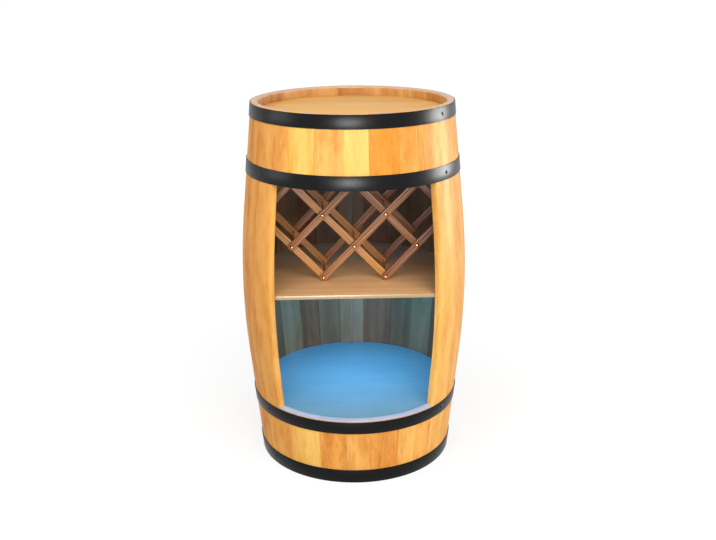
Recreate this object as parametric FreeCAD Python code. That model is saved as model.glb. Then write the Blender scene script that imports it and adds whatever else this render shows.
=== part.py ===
import FreeCAD, Part
import math
import os

# Barrel bar cabinet. Millimetres, +Z up, front towards -Y. The origin is the middle of the footprint's
# box, on the floor. Everything is drawn round the barrel's axis and moved there at the end.
# Angles round the barrel are in degrees from the front, positive towards +X.

# Barrel wall: straight tapering ends that run tangent into a round belly
HEIGHT = 800.0
END_RADIUS = 216.0
BELLY_RADIUS = 248.5
KNEE_HEIGHT = 80.0  # from mid-height up to where a straight end, drawn on, meets the belly line
STAVE_THICKNESS = 16.0
SEAM_CHAMFER = 0.8
CHIME_BEVEL = 4.0

# Staves, as shares of the arc that they fill
OPENING_ANGLE = 92.0
OPENING_TURN = -1.0  # how far the opening's middle is turned from the front
FRONT_SHARES = (10.5, 15, 15, 13, 16, 11, 11.5)
WALL_SHARES = (15.5, 16, 14.5, 17, 15, 16.5, 15.5, 17.5, 15, 14, 13.5, 15, 12.5, 14.5, 15.5, 13, 14.5, 13)

# Steel hoops
HOOP_THICKNESS = 1.5
HOOP_CLEARANCE = 0.3
END_HOOP_INSET = 1.0
TOP_HOOP_WIDTH = 28.0
BOTTOM_HOOP_WIDTH = 31.5
UPPER_HOOP_DROP = 118.5  # from the top end down to the hoop's upper edge
UPPER_HOOP_WIDTH = 29.5
LOWER_HOOP_RISE = 124.5  # from the floor up to the hoop's lower edge
LOWER_HOOP_WIDTH = 28.0

# Hoop screws
SCREW_ANGLES = (54.0, 115.0, 245.0, 303.0)
SCREW_HEAD_RADIUS = 4.0
SCREW_HEAD_HEIGHT = 1.8
SCREW_SHANK_RADIUS = 1.75
SCREW_LENGTH = 12.0
SCREW_FIT = 0.1

# Front opening, between the two middle hoops
OPENING_BEHIND_HOOP = 3.0
SILL_RISE = 3.0

# Heads, held in grooves in the staves
HEAD_RECESS = 21.0
HEAD_THICKNESS = 13.0
TONGUE_THICKNESS = 5.0
GROOVE_DEPTH = 5.0
HEAD_CLEARANCE = 0.4

# Boards inside
BOARD_THICKNESS = 8.0
BOARD_CLEARANCE = 0.5
SHELF_DROP = 387.0  # from the top end down to the shelf, so that the rack fits between them
SHELF_SETBACK = 3.0
FLOOR_DROP = 3.0  # from the sill down to the floor board
CLEAT_ANGLES = (58.0, 130.0, 230.0, 302.0)
CLEAT_WIDTH = 40.0
CLEAT_HEIGHT = 20.0
CLEAT_DEPTH = 15.0
CLEAT_CLEARANCE = 0.2

# Folding bottle rack
SLAT_WIDTH = 15.0
SLAT_THICKNESS = 9.0
SLAT_END = 7.0
SLAT_CHAMFER = 3.0
SLAT_GAP = 0.3
RACK_DEPTH = 138.0
RACK_ANGLE = 46.0
RACK_WALL_CLEARANCE = 4.5
RACK_FOOT_CLEARANCE = 0.5
ROD_RADIUS = 2.5
ROD_FIT = 0.05
ROD_HEAD_RADIUS = 4.5
ROD_HEAD_HEIGHT = 3.0
ROD_HEAD_GAP = 0.15

# Lighting
STRIP_WIDTH = 10.0
STRIP_THICKNESS = 1.5
STRIP_CLEAT_GAP = 2.0
STRIP_END_MARGIN = 7.0  # degrees short of each side of the opening
CHIP_COUNT = 28
CHIP_SIZE = 5.0
CHIP_HEIGHT = 1.2
LEAD_WIDTH = 8.0
LEAD_THICKNESS = 1.2
LEAD_CLEARANCE = 0.2
LEAD_NOTCH_CLEARANCE = 1.0
LEAD_NOTCH_DEPTH = 3.0
CONTROLLER_LENGTH = 60.0
CONTROLLER_WIDTH = 30.0
CONTROLLER_HEIGHT = 14.0
CONTROLLER_WALL_GAP = 4.0
INLET_HEIGHT = 75.0
INLET_BODY_RADIUS = 5.5
INLET_FIT = 0.2
INLET_FLANGE_RADIUS = 8.0
INLET_FLANGE_THICKNESS = 1.5
INLET_SEAT_DEPTH = 2.0
INLET_BACK_LENGTH = 6.0
INLET_NUT_RADIUS = 8.0
INLET_NUT_THICKNESS = 2.5
INLET_SOCKET_RADIUS = 2.8
INLET_SOCKET_DEPTH = 9.0

# Worked out from the sizes above
FULL_TURN = 360.0
BACK = FULL_TURN / 2
MIDDLE = HEIGHT / 2
TAPER = math.atan((BELLY_RADIUS - END_RADIUS) / (MIDDLE - KNEE_HEIGHT))
BELLY_ARC_RADIUS = KNEE_HEIGHT / math.tan(TAPER / 2)
BELLY_ARC_HEIGHT = KNEE_HEIGHT * (1 + math.cos(TAPER))
HALF_OPENING = OPENING_ANGLE / 2
UPPER_HOOP_TOP = HEIGHT - UPPER_HOOP_DROP
OPENING_TOP = UPPER_HOOP_TOP - UPPER_HOOP_WIDTH + OPENING_BEHIND_HOOP
OPENING_BOTTOM = LOWER_HOOP_RISE + LOWER_HOOP_WIDTH + SILL_RISE
FLOOR_TOP = OPENING_BOTTOM - FLOOR_DROP
SHELF_TOP = HEIGHT - SHELF_DROP
HOOPS = {
    "hoop_top": (HEIGHT - END_HOOP_INSET - TOP_HOOP_WIDTH, HEIGHT - END_HOOP_INSET),
    "hoop_upper": (UPPER_HOOP_TOP - UPPER_HOOP_WIDTH, UPPER_HOOP_TOP),
    "hoop_lower": (LOWER_HOOP_RISE, LOWER_HOOP_RISE + LOWER_HOOP_WIDTH),
    "hoop_bottom": (END_HOOP_INSET, END_HOOP_INSET + BOTTOM_HOOP_WIDTH),
}
TOP_HEAD_BOTTOM = HEIGHT - HEAD_RECESS - HEAD_THICKNESS
UP = FreeCAD.Vector(0, 0, 1)
CENTRE = FreeCAD.Vector(0, 0, 0)


def point(radius, z):
    """A point of a section drawn in the plane of X and Z."""
    return FreeCAD.Vector(radius, 0, z)


def stave_radius(z):
    """The radius of the staves' outer face at a height."""
    off_middle = abs(z - MIDDLE)
    if off_middle > BELLY_ARC_HEIGHT:
        return END_RADIUS + (MIDDLE - off_middle) * math.tan(TAPER)
    return BELLY_RADIUS - BELLY_ARC_RADIUS + math.sqrt(BELLY_ARC_RADIUS**2 - off_middle**2)


def wall_radius(z):
    """The radius of the staves' inner face at a height."""
    return stave_radius(z) - STAVE_THICKNESS


def turn_to(shape, angle):
    """Turn a shape from the +X direction to an angle from the front."""
    shape.rotate(CENTRE, UP, angle - 90)
    return shape


def spin(face, start, sweep):
    """Revolve a section of the XZ plane round the barrel's axis, from a start angle."""
    return turn_to(face.revolve(CENTRE, UP, sweep), start)


def polygon(*corners):
    """A flat face with the given corners."""
    return Part.Face(Part.makePolygon([*corners, corners[0]]))


def block(low, high):
    """A box between two corners."""
    size = high - low
    return Part.makeBox(size.x, size.y, size.z, low)


def side_line(inset):
    """The barrel's side as bottom line, belly arc and top line, moved in towards the axis."""
    low, high = MIDDLE - BELLY_ARC_HEIGHT, MIDDLE + BELLY_ARC_HEIGHT
    bottom = point(END_RADIUS - inset, 0)
    top = point(END_RADIUS - inset, HEIGHT)
    arc_start = point(stave_radius(low) - inset, low)
    arc_end = point(stave_radius(high) - inset, high)
    belly = point(BELLY_RADIUS - inset, MIDDLE)
    return [
        Part.LineSegment(bottom, arc_start).toShape(),
        Part.Arc(arc_start, belly, arc_end).toShape(),
        Part.LineSegment(arc_end, top).toShape(),
    ]


def band_between(outer_inset, inner_inset):
    """The face between two copies of the side line, over the whole height."""
    outer, inner = side_line(outer_inset), side_line(inner_inset)
    ends = [
        Part.LineSegment(point(END_RADIUS - outer_inset, z), point(END_RADIUS - inner_inset, z)).toShape()
        for z in (0, HEIGHT)
    ]
    return Part.Face(Part.Wire(Part.__sortEdges__(outer + inner + ends)))


def level_range(low, high):
    """A tall face that keeps only one range of heights of a section."""
    reach = 2 * BELLY_RADIUS
    return polygon(point(0, low), point(reach, low), point(reach, high), point(0, high))


def cavity(clearance):
    """The hollow inside the staves as a solid, smaller by a clearance."""
    side = side_line(STAVE_THICKNESS + clearance)
    radius = END_RADIUS - STAVE_THICKNESS - clearance
    rest = Part.makePolygon([point(radius, HEIGHT), point(0, HEIGHT), CENTRE, point(radius, 0)])
    return Part.Face(Part.Wire(Part.__sortEdges__(side + rest.Edges))).revolve(CENTRE, UP, FULL_TURN)


def groove_radius(head_bottom):
    """How far out the groove for a head reaches."""
    return wall_radius(head_bottom + HEAD_THICKNESS / 2) + GROOVE_DEPTH


def stave_section():
    """A stave's section: curved plank, a groove for each head, and a bevel inside each end."""
    section = band_between(0, STAVE_THICKNESS)
    for head_bottom in (HEAD_RECESS, TOP_HEAD_BOTTOM):
        half = TONGUE_THICKNESS / 2 + HEAD_CLEARANCE
        middle = head_bottom + HEAD_THICKNESS / 2
        outer = groove_radius(head_bottom)
        section = section.cut(
            polygon(point(0, middle - half), point(outer, middle - half),
                    point(outer, middle + half), point(0, middle + half))
        )
    inner = END_RADIUS - STAVE_THICKNESS
    for end, inward in ((0, 1), (HEIGHT, -1)):
        section = section.cut(
            polygon(point(inner + CHIME_BEVEL, end), point(inner, end + inward * CHIME_BEVEL), point(0, end))
        )
    return section


def chamfer_seams(stave, start, sweep):
    """Break the stave's long outer edges, which show as a thin groove at each seam."""
    seams = []
    for edge in stave.Edges:
        middle = edge.valueAt((edge.FirstParameter + edge.LastParameter) / 2)
        angle = math.degrees(math.atan2(middle.x, -middle.y))
        on_side = any(abs((angle - side + BACK) % FULL_TURN - BACK) < 0.01 for side in (start, start + sweep))
        outside = math.hypot(middle.x, middle.y) > stave_radius(middle.z) - SEAM_CHAMFER / 2
        upright = len(edge.Vertexes) == 2 and abs(edge.Vertexes[0].Z - edge.Vertexes[1].Z) > CHIME_BEVEL
        if on_side and outside and upright:
            seams.append(edge)
    return stave.makeChamfer(SEAM_CHAMFER, seams)


def stave_row(section, shares, start, sweep):
    """Staves side by side over an arc, each as wide as its share of it."""
    row = []
    for share in shares:
        width = sweep * share / sum(shares)
        row.append(chamfer_seams(spin(section, start, width), start, width))
        start += width
    return row


def hoop(low, high):
    """A straight-sided steel ring round the staves."""
    inner = [point(stave_radius(z) + HOOP_CLEARANCE, z) for z in (low, high)]
    outer = [corner + point(HOOP_THICKNESS, 0) for corner in inner]
    return polygon(inner[0], outer[0], outer[1], inner[1]).revolve(CENTRE, UP, FULL_TURN)


def hoop_screw_frame(low, high, angle):
    """The seat of a screw on a hoop's outer face and the direction in which its head points."""
    lean = math.atan2(stave_radius(low) - stave_radius(high), high - low)
    middle = (low + high) / 2
    mean = (stave_radius(low) + stave_radius(high)) / 2 + HOOP_CLEARANCE + HOOP_THICKNESS / math.cos(lean)
    seat = turn_to(Part.Vertex(point(mean, middle)), angle).Point
    outward = turn_to(Part.Vertex(point(math.cos(lean), math.sin(lean))), angle).Point
    return seat, outward


def round_head(seat, outward, radius, height):
    """A low dome on a flat seat."""
    ball_radius = (radius**2 + height**2) / (2 * height)
    ball = Part.makeSphere(ball_radius, seat - outward * (ball_radius - height))
    return ball.common(Part.makeCylinder(radius, 2 * height, seat, outward))


def hoop_screw(seat, outward):
    """A round-head wood screw."""
    shank = Part.makeCylinder(SCREW_SHANK_RADIUS, SCREW_LENGTH, seat, outward * -1)
    return round_head(seat, outward, SCREW_HEAD_RADIUS, SCREW_HEAD_HEIGHT).fuse(shank).removeSplitter()


def head(bottom):
    """A round head with a tongue on its rim for the groove in the staves."""
    top = bottom + HEAD_THICKNESS
    middle = bottom + HEAD_THICKNESS / 2
    radius = min(wall_radius(bottom), wall_radius(top)) - HEAD_CLEARANCE
    tongue = groove_radius(bottom) - HEAD_CLEARANCE
    low, high = middle - TONGUE_THICKNESS / 2, middle + TONGUE_THICKNESS / 2
    outline = polygon(
        point(0, bottom), point(radius, bottom), point(radius, low), point(tongue, low),
        point(tongue, high), point(radius, high), point(radius, top), point(0, top),
    )
    return outline.revolve(CENTRE, UP, FULL_TURN)


def board(top):
    """A round board that fits the hollow, notched at the back for the light's lead."""
    bottom = top - BOARD_THICKNESS
    radius = min(wall_radius(bottom), wall_radius(top)) - BOARD_CLEARANCE
    disc = Part.makeCylinder(radius, BOARD_THICKNESS, point(0, bottom))
    half = LEAD_WIDTH / 2 + LEAD_NOTCH_CLEARANCE
    notch = block(
        FreeCAD.Vector(-half, radius - LEAD_NOTCH_DEPTH, bottom), FreeCAD.Vector(half, BELLY_RADIUS, top)
    )
    return disc.cut(notch)


def shelf_front():
    """How far in front of the axis the shelf's straight edge is, just behind the opening's nearer inner corner."""
    return wall_radius(SHELF_TOP) * math.cos(math.radians(HALF_OPENING + OPENING_TURN)) - SHELF_SETBACK


def shelf():
    """The middle shelf, cut off straight at the opening."""
    reach = 2 * BELLY_RADIUS
    low = FreeCAD.Vector(-reach, -shelf_front(), SHELF_TOP - BOARD_THICKNESS)
    return board(SHELF_TOP).common(block(low, FreeCAD.Vector(reach, reach, SHELF_TOP)))


def cleats(board_top, hollow):
    """Blocks on the wall that carry a board, with backs that follow the wall."""
    top = board_top - BOARD_THICKNESS
    bottom = top - CLEAT_HEIGHT
    inner = min(wall_radius(top), wall_radius(bottom)) - CLEAT_DEPTH
    blank = block(FreeCAD.Vector(inner, -CLEAT_WIDTH / 2, bottom), FreeCAD.Vector(BELLY_RADIUS, CLEAT_WIDTH / 2, top))
    return [turn_to(blank.copy(), angle).common(hollow) for angle in CLEAT_ANGLES]


def slat_end_reach(angle):
    """How far a slat's end reaches past its last pin, along a direction at an angle to the slat."""
    turn = math.radians(angle)
    half = SLAT_WIDTH / 2
    return max(
        SLAT_END * math.cos(turn) + (half - SLAT_CHAMFER) * math.sin(turn),
        (SLAT_END - SLAT_CHAMFER) * math.cos(turn) + half * math.sin(turn),
    )


def rack_pitch():
    """The distance between pins along a slat, so that the widest row just clears the wall."""
    wall = wall_radius((SHELF_TOP + OPENING_TOP) / 2) - RACK_WALL_CLEARANCE
    half_width = math.sqrt(wall**2 - (RACK_DEPTH / 2) ** 2)
    return (half_width - slat_end_reach(RACK_ANGLE)) / (3 * math.cos(math.radians(RACK_ANGLE)))


def rack_pin(column, row):
    """The place of a pin: columns are half cells from the middle, rows are half cells up."""
    pitch = rack_pitch()
    foot = SHELF_TOP + RACK_FOOT_CLEARANCE + slat_end_reach(90 - RACK_ANGLE)
    across = column * pitch * math.cos(math.radians(RACK_ANGLE))
    return point(across, foot + row * pitch * math.sin(math.radians(RACK_ANGLE)))


# The rack's pins are where its rising and falling slats cross. A rising slat keeps column minus row,
# a falling one keeps column plus row, and the rack is five rows of pins high.
RISING = {"rising_1": -5, "rising_2": -3, "rising_3": -1, "rising_4": 1}
FALLING = {"falling_1": -1, "falling_2": 1, "falling_3": 3, "falling_4": 5}
TOP_ROW = 4
MAIN_SLAT = "rising_3"


def crossings():
    """Each pin of the rack with the rising and the falling slat that it joins."""
    found = []
    for rising, difference in RISING.items():
        for falling, total in FALLING.items():
            row = (total - difference) // 2
            if 0 <= row <= TOP_ROW:
                found.append((rising, falling, rack_pin((total + difference) // 2, row)))
    return found


def bar(pins, front):
    """One slat through a row of pins, with chamfered corners and a hole for each pin."""
    first, last = pins[0], pins[-1]
    along = (last - first).normalize()
    across = along.cross(FreeCAD.Vector(0, 1, 0))
    corners = []
    for pin, way in ((first, -1), (last, 1)):
        for end, side in (
            (SLAT_END - SLAT_CHAMFER, SLAT_WIDTH / 2),
            (SLAT_END, SLAT_WIDTH / 2 - SLAT_CHAMFER),
            (SLAT_END, SLAT_CHAMFER - SLAT_WIDTH / 2),
            (SLAT_END - SLAT_CHAMFER, -SLAT_WIDTH / 2),
        ):
            corners.append(pin + (along * end + across * side) * way)
    solid = polygon(*corners).extrude(FreeCAD.Vector(0, SLAT_THICKNESS, 0))
    for pin in pins:
        solid = solid.cut(Part.makeCylinder(ROD_RADIUS + ROD_FIT, SLAT_THICKNESS, pin, FreeCAD.Vector(0, 1, 0)))
    solid.translate(FreeCAD.Vector(0, front, 0))
    return solid


def slat_pair(pins, inset):
    """A slat in the rack's front frame and its twin in the rear frame, inset from the rack's faces."""
    front = -RACK_DEPTH / 2 + inset
    return [bar(pins, front), bar(pins, -front - SLAT_THICKNESS)]


def rod(pin):
    """A brass rod through the whole rack, with a domed head on each end."""
    half = RACK_DEPTH / 2 + ROD_HEAD_GAP
    solid = Part.makeCylinder(ROD_RADIUS, 2 * half, pin - FreeCAD.Vector(0, half, 0), FreeCAD.Vector(0, 1, 0))
    for way in (-1, 1):
        outward = FreeCAD.Vector(0, way, 0)
        solid = solid.fuse(round_head(pin + outward * half, outward, ROD_HEAD_RADIUS, ROD_HEAD_HEIGHT))
    return solid.removeSplitter()


def rack_nodes():
    """The rack's slats and rods. The main slat keeps the rods that it crosses, a falling slat its others."""
    pins = {name: [] for name in (*RISING, *FALLING)}
    rods = {name: [] for name in (MAIN_SLAT, *FALLING)}
    for rising, falling, pin in crossings():
        pins[rising].append(pin)
        pins[falling].append(pin)
        rods[MAIN_SLAT if rising == MAIN_SLAT else falling].append(rod(pin))
    made = {}
    for name, places in pins.items():
        inset = 0 if name in RISING else SLAT_THICKNESS + SLAT_GAP
        made[f"rack_slats_{name}"] = slat_pair(sorted(places, key=lambda pin: pin.z), inset)
    for name, group in rods.items():
        made[f"rack_rods_{name}"] = group
    return made


def light_strip(ceiling):
    """A flat strip of lights under a board or head, from one side of the opening round the back to the other.

    It runs just inside the cleats, and a tail at the back reaches the lead on the wall.
    """
    under = ceiling - STRIP_THICKNESS
    wall = wall_radius(under)
    outer = wall - CLEAT_DEPTH - STRIP_CLEAT_GAP
    section = polygon(
        point(outer - STRIP_WIDTH, under), point(outer, under), point(outer, ceiling),
        point(outer - STRIP_WIDTH, ceiling),
    )
    start = HALF_OPENING + STRIP_END_MARGIN
    sweep = FULL_TURN - 2 * start
    middle = outer - STRIP_WIDTH / 2
    tail_end = wall - 2 * LEAD_CLEARANCE - LEAD_THICKNESS
    tail = block(FreeCAD.Vector(middle, -LEAD_WIDTH / 2, under), FreeCAD.Vector(tail_end, LEAD_WIDTH / 2, ceiling))
    strip = spin(section, start, sweep).fuse(turn_to(tail, BACK)).removeSplitter()
    half = CHIP_SIZE / 2
    chip = block(FreeCAD.Vector(middle - half, -half, under - CHIP_HEIGHT), FreeCAD.Vector(middle + half, half, under))
    chips = [turn_to(chip.copy(), start + sweep * (index + 0.5) / CHIP_COUNT) for index in range(CHIP_COUNT)]
    return strip, chips


def light_lead():
    """The flat lead on the back wall, from the inlet up to the upper strip."""
    low = INLET_HEIGHT + INLET_NUT_RADIUS + LEAD_CLEARANCE
    outer = STAVE_THICKNESS + LEAD_CLEARANCE
    section = band_between(outer, outer + LEAD_THICKNESS).common(level_range(low, TOP_HEAD_BOTTOM - LEAD_CLEARANCE))
    sweep = math.degrees(LEAD_WIDTH / wall_radius(MIDDLE))
    return spin(section.Faces[0], BACK - sweep / 2, sweep)


def light_controller():
    """The lights' control box under the floor board, close to the back wall."""
    top = FLOOR_TOP - BOARD_THICKNESS
    bottom = top - CONTROLLER_HEIGHT
    corner_reach = math.sqrt(wall_radius(bottom) ** 2 - (CONTROLLER_LENGTH / 2) ** 2)
    back = corner_reach - CONTROLLER_WALL_GAP
    low = FreeCAD.Vector(-CONTROLLER_LENGTH / 2, back - CONTROLLER_WIDTH, bottom)
    return block(low, FreeCAD.Vector(CONTROLLER_LENGTH / 2, back, top))


def inlet_parts():
    """The power inlet with its nut, and the hole with a sunk seat that it needs in the rear stave."""
    back = FreeCAD.Vector(0, 1, 0)
    lowest_face = stave_radius(INLET_HEIGHT - INLET_FLANGE_RADIUS)
    seat = FreeCAD.Vector(0, lowest_face - INLET_SEAT_DEPTH, INLET_HEIGHT)
    inner_face = wall_radius(INLET_HEIGHT - INLET_NUT_RADIUS)
    body_start = FreeCAD.Vector(0, inner_face - INLET_NUT_THICKNESS - INLET_BACK_LENGTH, INLET_HEIGHT)
    body = Part.makeCylinder(INLET_BODY_RADIUS, seat.y - body_start.y, body_start, back)
    flange = Part.makeCylinder(INLET_FLANGE_RADIUS, INLET_FLANGE_THICKNESS, seat, back)
    mouth = seat + back * (INLET_FLANGE_THICKNESS - INLET_SOCKET_DEPTH)
    socket = Part.makeCylinder(INLET_SOCKET_RADIUS, INLET_SOCKET_DEPTH, mouth, back)
    inlet = body.fuse(flange).removeSplitter().cut(socket)
    nut_start = FreeCAD.Vector(0, inner_face - INLET_NUT_THICKNESS - INLET_FIT, INLET_HEIGHT)
    nut = Part.makeCylinder(INLET_NUT_RADIUS, INLET_NUT_THICKNESS, nut_start, back)
    nut = nut.cut(Part.makeCylinder(INLET_BODY_RADIUS + ROD_FIT, INLET_NUT_THICKNESS, nut_start, back))
    hole = Part.makeCylinder(INLET_BODY_RADIUS + INLET_FIT, BELLY_RADIUS, CENTRE + UP * INLET_HEIGHT, back)
    sunk = Part.makeCylinder(INLET_FLANGE_RADIUS + INLET_FIT, STAVE_THICKNESS + BELLY_RADIUS, seat, back)
    return [inlet, nut], hole.fuse(sunk)


def stave_nodes(holes):
    """All the staves by name, with the holes for screws and the inlet cut into those that they meet."""
    section = stave_section()
    below = section.common(level_range(0, OPENING_BOTTOM)).Faces[0]
    above = section.common(level_range(OPENING_TOP, HEIGHT)).Faces[0]
    rows = {
        "stave_{:02d}": stave_row(section.Faces[0], WALL_SHARES, OPENING_TURN + HALF_OPENING, FULL_TURN - OPENING_ANGLE),
        "front_stave_upper_{}": stave_row(above, FRONT_SHARES, OPENING_TURN - HALF_OPENING, OPENING_ANGLE),
        "front_stave_lower_{}": stave_row(below, FRONT_SHARES, OPENING_TURN - HALF_OPENING, OPENING_ANGLE),
    }
    made = {}
    for pattern, row in rows.items():
        for number, solid in enumerate(row, start=1):
            for hole in holes:
                if solid.BoundBox.intersect(hole.BoundBox):
                    solid = solid.cut(hole)
            made[pattern.format(number)] = [solid]
    return made


def hoop_nodes():
    """The hoops and their screws, with the holes that the screws need."""
    made, screws, holes = {}, [], []
    for name, (low, high) in HOOPS.items():
        ring = hoop(low, high)
        for angle in SCREW_ANGLES:
            seat, outward = hoop_screw_frame(low, high, angle)
            screws.append(hoop_screw(seat, outward))
            hole = Part.makeCylinder(
                SCREW_SHANK_RADIUS + SCREW_FIT, SCREW_LENGTH + 2 * SCREW_FIT, seat + outward * SCREW_FIT, outward * -1
            )
            ring = ring.cut(hole)
            holes.append(hole)
        made[name] = [ring]
    made["hoop_screws"] = screws
    return made, holes


def axis_place():
    """Where the barrel's axis stands, with the origin midway between the belly's back and the hoops' front."""
    hoop_edges = [*HOOPS["hoop_upper"], *HOOPS["hoop_lower"]]
    front_reach = max(stave_radius(z) for z in hoop_edges) + HOOP_CLEARANCE + HOOP_THICKNESS
    return FreeCAD.Vector(0, (front_reach - BELLY_RADIUS) / 2, 0)


def build():
    """Every node of the cabinet by name, each with its list of solids."""
    nodes, holes = hoop_nodes()
    nodes["power_inlet"], inlet_hole = inlet_parts()
    nodes.update(stave_nodes([*holes, inlet_hole]))
    hollow = cavity(CLEAT_CLEARANCE)
    nodes["top_head"] = [head(TOP_HEAD_BOTTOM)]
    nodes["bottom_head"] = [head(HEAD_RECESS)]
    nodes["mid_shelf"] = [shelf()]
    nodes["floor_board"] = [board(FLOOR_TOP)]
    nodes["board_cleats"] = cleats(SHELF_TOP, hollow) + cleats(FLOOR_TOP, hollow)
    nodes.update(rack_nodes())
    upper_strip, upper_chips = light_strip(TOP_HEAD_BOTTOM)
    lower_strip, lower_chips = light_strip(SHELF_TOP - BOARD_THICKNESS)
    nodes["light_strips"] = [upper_strip, lower_strip]
    nodes["light_chips"] = upper_chips + lower_chips
    nodes["light_lead"] = [light_lead()]
    nodes["light_controller"] = [light_controller()]
    return nodes


os.makedirs("parts", exist_ok=True)
for node_name, solids in build().items():
    shape = solids[0] if len(solids) == 1 else Part.makeCompound(solids)
    shape.translate(axis_place())
    if not shape.isValid():
        raise ValueError(f"{node_name} isn't a valid solid")
    shape.exportStep(f"parts/{node_name}.step")
    print(f"{node_name}: {len(shape.Solids)} solids, {shape.Volume / 1000:.1f} cm3")
print(f"rack pitch {rack_pitch():.2f}, lowest pin at {rack_pin(1, 0).z:.2f}, axis at y {axis_place().y:.2f}")
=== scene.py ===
"""The looks of the barrel bar cabinet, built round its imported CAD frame.

Metres throughout, +Z up, the open front towards -Y. The barrel's axis stands a little in front of
the origin, where the top hoop says that it is. Angles round the barrel are in degrees from the
front, positive towards +X, as they are in the part's source.
"""

from __future__ import annotations

import logging
import math
from collections.abc import Callable, Iterator, Sequence
from contextlib import contextmanager
from dataclasses import dataclass, field
from enum import Enum, IntEnum

import bmesh
import bpy
from bpy.types import Material, MeshPolygon, Node, NodeSocket, NodeTree, Object
from mathutils import Matrix, Vector

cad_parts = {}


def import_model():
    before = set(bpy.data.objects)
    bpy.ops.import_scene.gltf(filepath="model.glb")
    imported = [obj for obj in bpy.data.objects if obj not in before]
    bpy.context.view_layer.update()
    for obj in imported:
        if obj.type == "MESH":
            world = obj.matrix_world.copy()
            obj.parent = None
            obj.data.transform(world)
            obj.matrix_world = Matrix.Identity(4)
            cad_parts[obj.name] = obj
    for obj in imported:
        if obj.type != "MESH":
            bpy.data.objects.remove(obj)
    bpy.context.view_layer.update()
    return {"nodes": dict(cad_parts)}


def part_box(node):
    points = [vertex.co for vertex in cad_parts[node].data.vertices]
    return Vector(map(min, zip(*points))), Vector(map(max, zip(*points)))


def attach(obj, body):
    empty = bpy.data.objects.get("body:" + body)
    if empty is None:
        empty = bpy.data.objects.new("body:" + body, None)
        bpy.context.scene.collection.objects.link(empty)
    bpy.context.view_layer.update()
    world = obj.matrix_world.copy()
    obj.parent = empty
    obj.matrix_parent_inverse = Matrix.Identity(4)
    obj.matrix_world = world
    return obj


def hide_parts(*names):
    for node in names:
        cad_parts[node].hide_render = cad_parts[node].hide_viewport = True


LOG = logging.getLogger("barrel_bar_cabinet")
MM = 0.001
FULL_TURN = 360.0
BACK = 180.0
SPIN_STEP = 2.0  # degrees of turn between two sections of a piece that is spun round the barrel
ROUND_STEPS = 48  # sections round a hole or the power inlet
SMALL_STEPS = 24  # sections round a screw, a rivet or a rod
LEAST_STEPS = 3  # sections of even the narrowest part of a turn
DOME_STEPS = 6  # rings of faces on a domed head
MERGE_DISTANCE = 0.01 * MM
SHARP_ANGLE = 35.0  # degrees of turn from which an edge counts as sharp
FACING = 0.9  # how far a face's normal points along an axis, from which the face counts as facing it
WAVE_PERIOD = math.tau / 20  # the spacing of Blender's wave rings at a scale of 1
BARREL = "barrel"
GROOVE_DEPTH = 0.005  # how far the heads' tongues reach into the staves
INLET_HEIGHT = 0.075  # the power inlet's, above the floor
INLET_FLANGE_RADIUS = 0.008


# ---------------------------------------------------------------- working by hand


def activate(piece: Object) -> None:
    """Selects one object alone and makes it active.

    Args:
        piece: The object.
    """
    bpy.ops.object.select_all(action="DESELECT")
    piece.select_set(True)
    bpy.context.view_layer.objects.active = piece


@contextmanager
def editing(piece: Object, mode: str = "VERT", start: str = "DESELECT") -> Iterator[bmesh.types.BMesh]:
    """Opens a piece in edit mode.

    Args:
        piece: The object to edit.
        mode: VERT, EDGE or FACE, what is picked by.
        start: DESELECT or SELECT, whether nothing or everything is selected at first.

    Returns:
        The edit mesh, in which faces and edges are found by their place.
    """
    activate(piece)
    bpy.ops.object.mode_set(mode="EDIT")
    bpy.ops.mesh.select_mode(type=mode)
    bpy.ops.mesh.select_all(action=start)
    try:
        yield bmesh.from_edit_mesh(piece.data)
    finally:
        bpy.ops.object.mode_set(mode="OBJECT")


def pick(piece: Object, elements: Sequence, test: Callable[..., bool]) -> None:
    """Selects the faces or edges that pass a test.

    Args:
        piece: The object in edit mode.
        elements: Its edit mesh's faces or edges.
        test: Says whether one of them is wanted.
    """
    for element in elements:
        if test(element):
            element.select_set(True)
    bmesh.update_edit_mesh(piece.data)


def settle(piece: Object, name: str) -> Object:
    """Names a piece and moves its place, turn and size into its mesh.

    Args:
        piece: The object.
        name: Its new name.

    Returns:
        The object, now at the origin.
    """
    activate(piece)
    bpy.ops.object.transform_apply(location=True, rotation=True, scale=True)
    piece.name = piece.data.name = name
    return piece


def face_outwards(piece: Object) -> None:
    """Merges doubles and turns every face of a closed piece outwards.

    Args:
        piece: The object.
    """
    with editing(piece, start="SELECT"):
        bpy.ops.mesh.remove_doubles(threshold=MERGE_DISTANCE)
        bpy.ops.mesh.normals_make_consistent(inside=False)


def apply_modifier(piece: Object, kind: str, **settings: object) -> None:
    """Adds one modifier to a piece and applies it.

    Args:
        piece: The object.
        kind: The modifier's type.
        settings: Its settings.
    """
    activate(piece)
    modifier = piece.modifiers.new(kind.lower(), kind)
    for name, value in settings.items():
        setattr(modifier, name, value)
    bpy.ops.object.modifier_apply(modifier=modifier.name)


def smooth(piece: Object) -> None:
    """Shades a piece smooth, but for its sharp edges."""
    activate(piece)
    bpy.ops.object.shade_smooth_by_angle(angle=math.radians(SHARP_ANGLE))


def round_edges(piece: Object, width: float) -> None:
    """Rounds a piece's sharp edges, as sanding does, and shades it smooth between them.

    Args:
        piece: The object.
        width: The width of the rounding.
    """
    apply_modifier(
        piece, "BEVEL", width=width, segments=2, limit_method="ANGLE", angle_limit=math.radians(SHARP_ANGLE),
        use_clamp_overlap=True, miter_outer="MITER_ARC",
    )
    smooth(piece)


def cut_away(piece: Object, cutter: Object) -> None:
    """Cuts one object's shape out of another and deletes the cutter."""
    apply_modifier(piece, "BOOLEAN", operation="DIFFERENCE", solver="EXACT", object=cutter)
    bpy.data.objects.remove(cutter)


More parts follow.
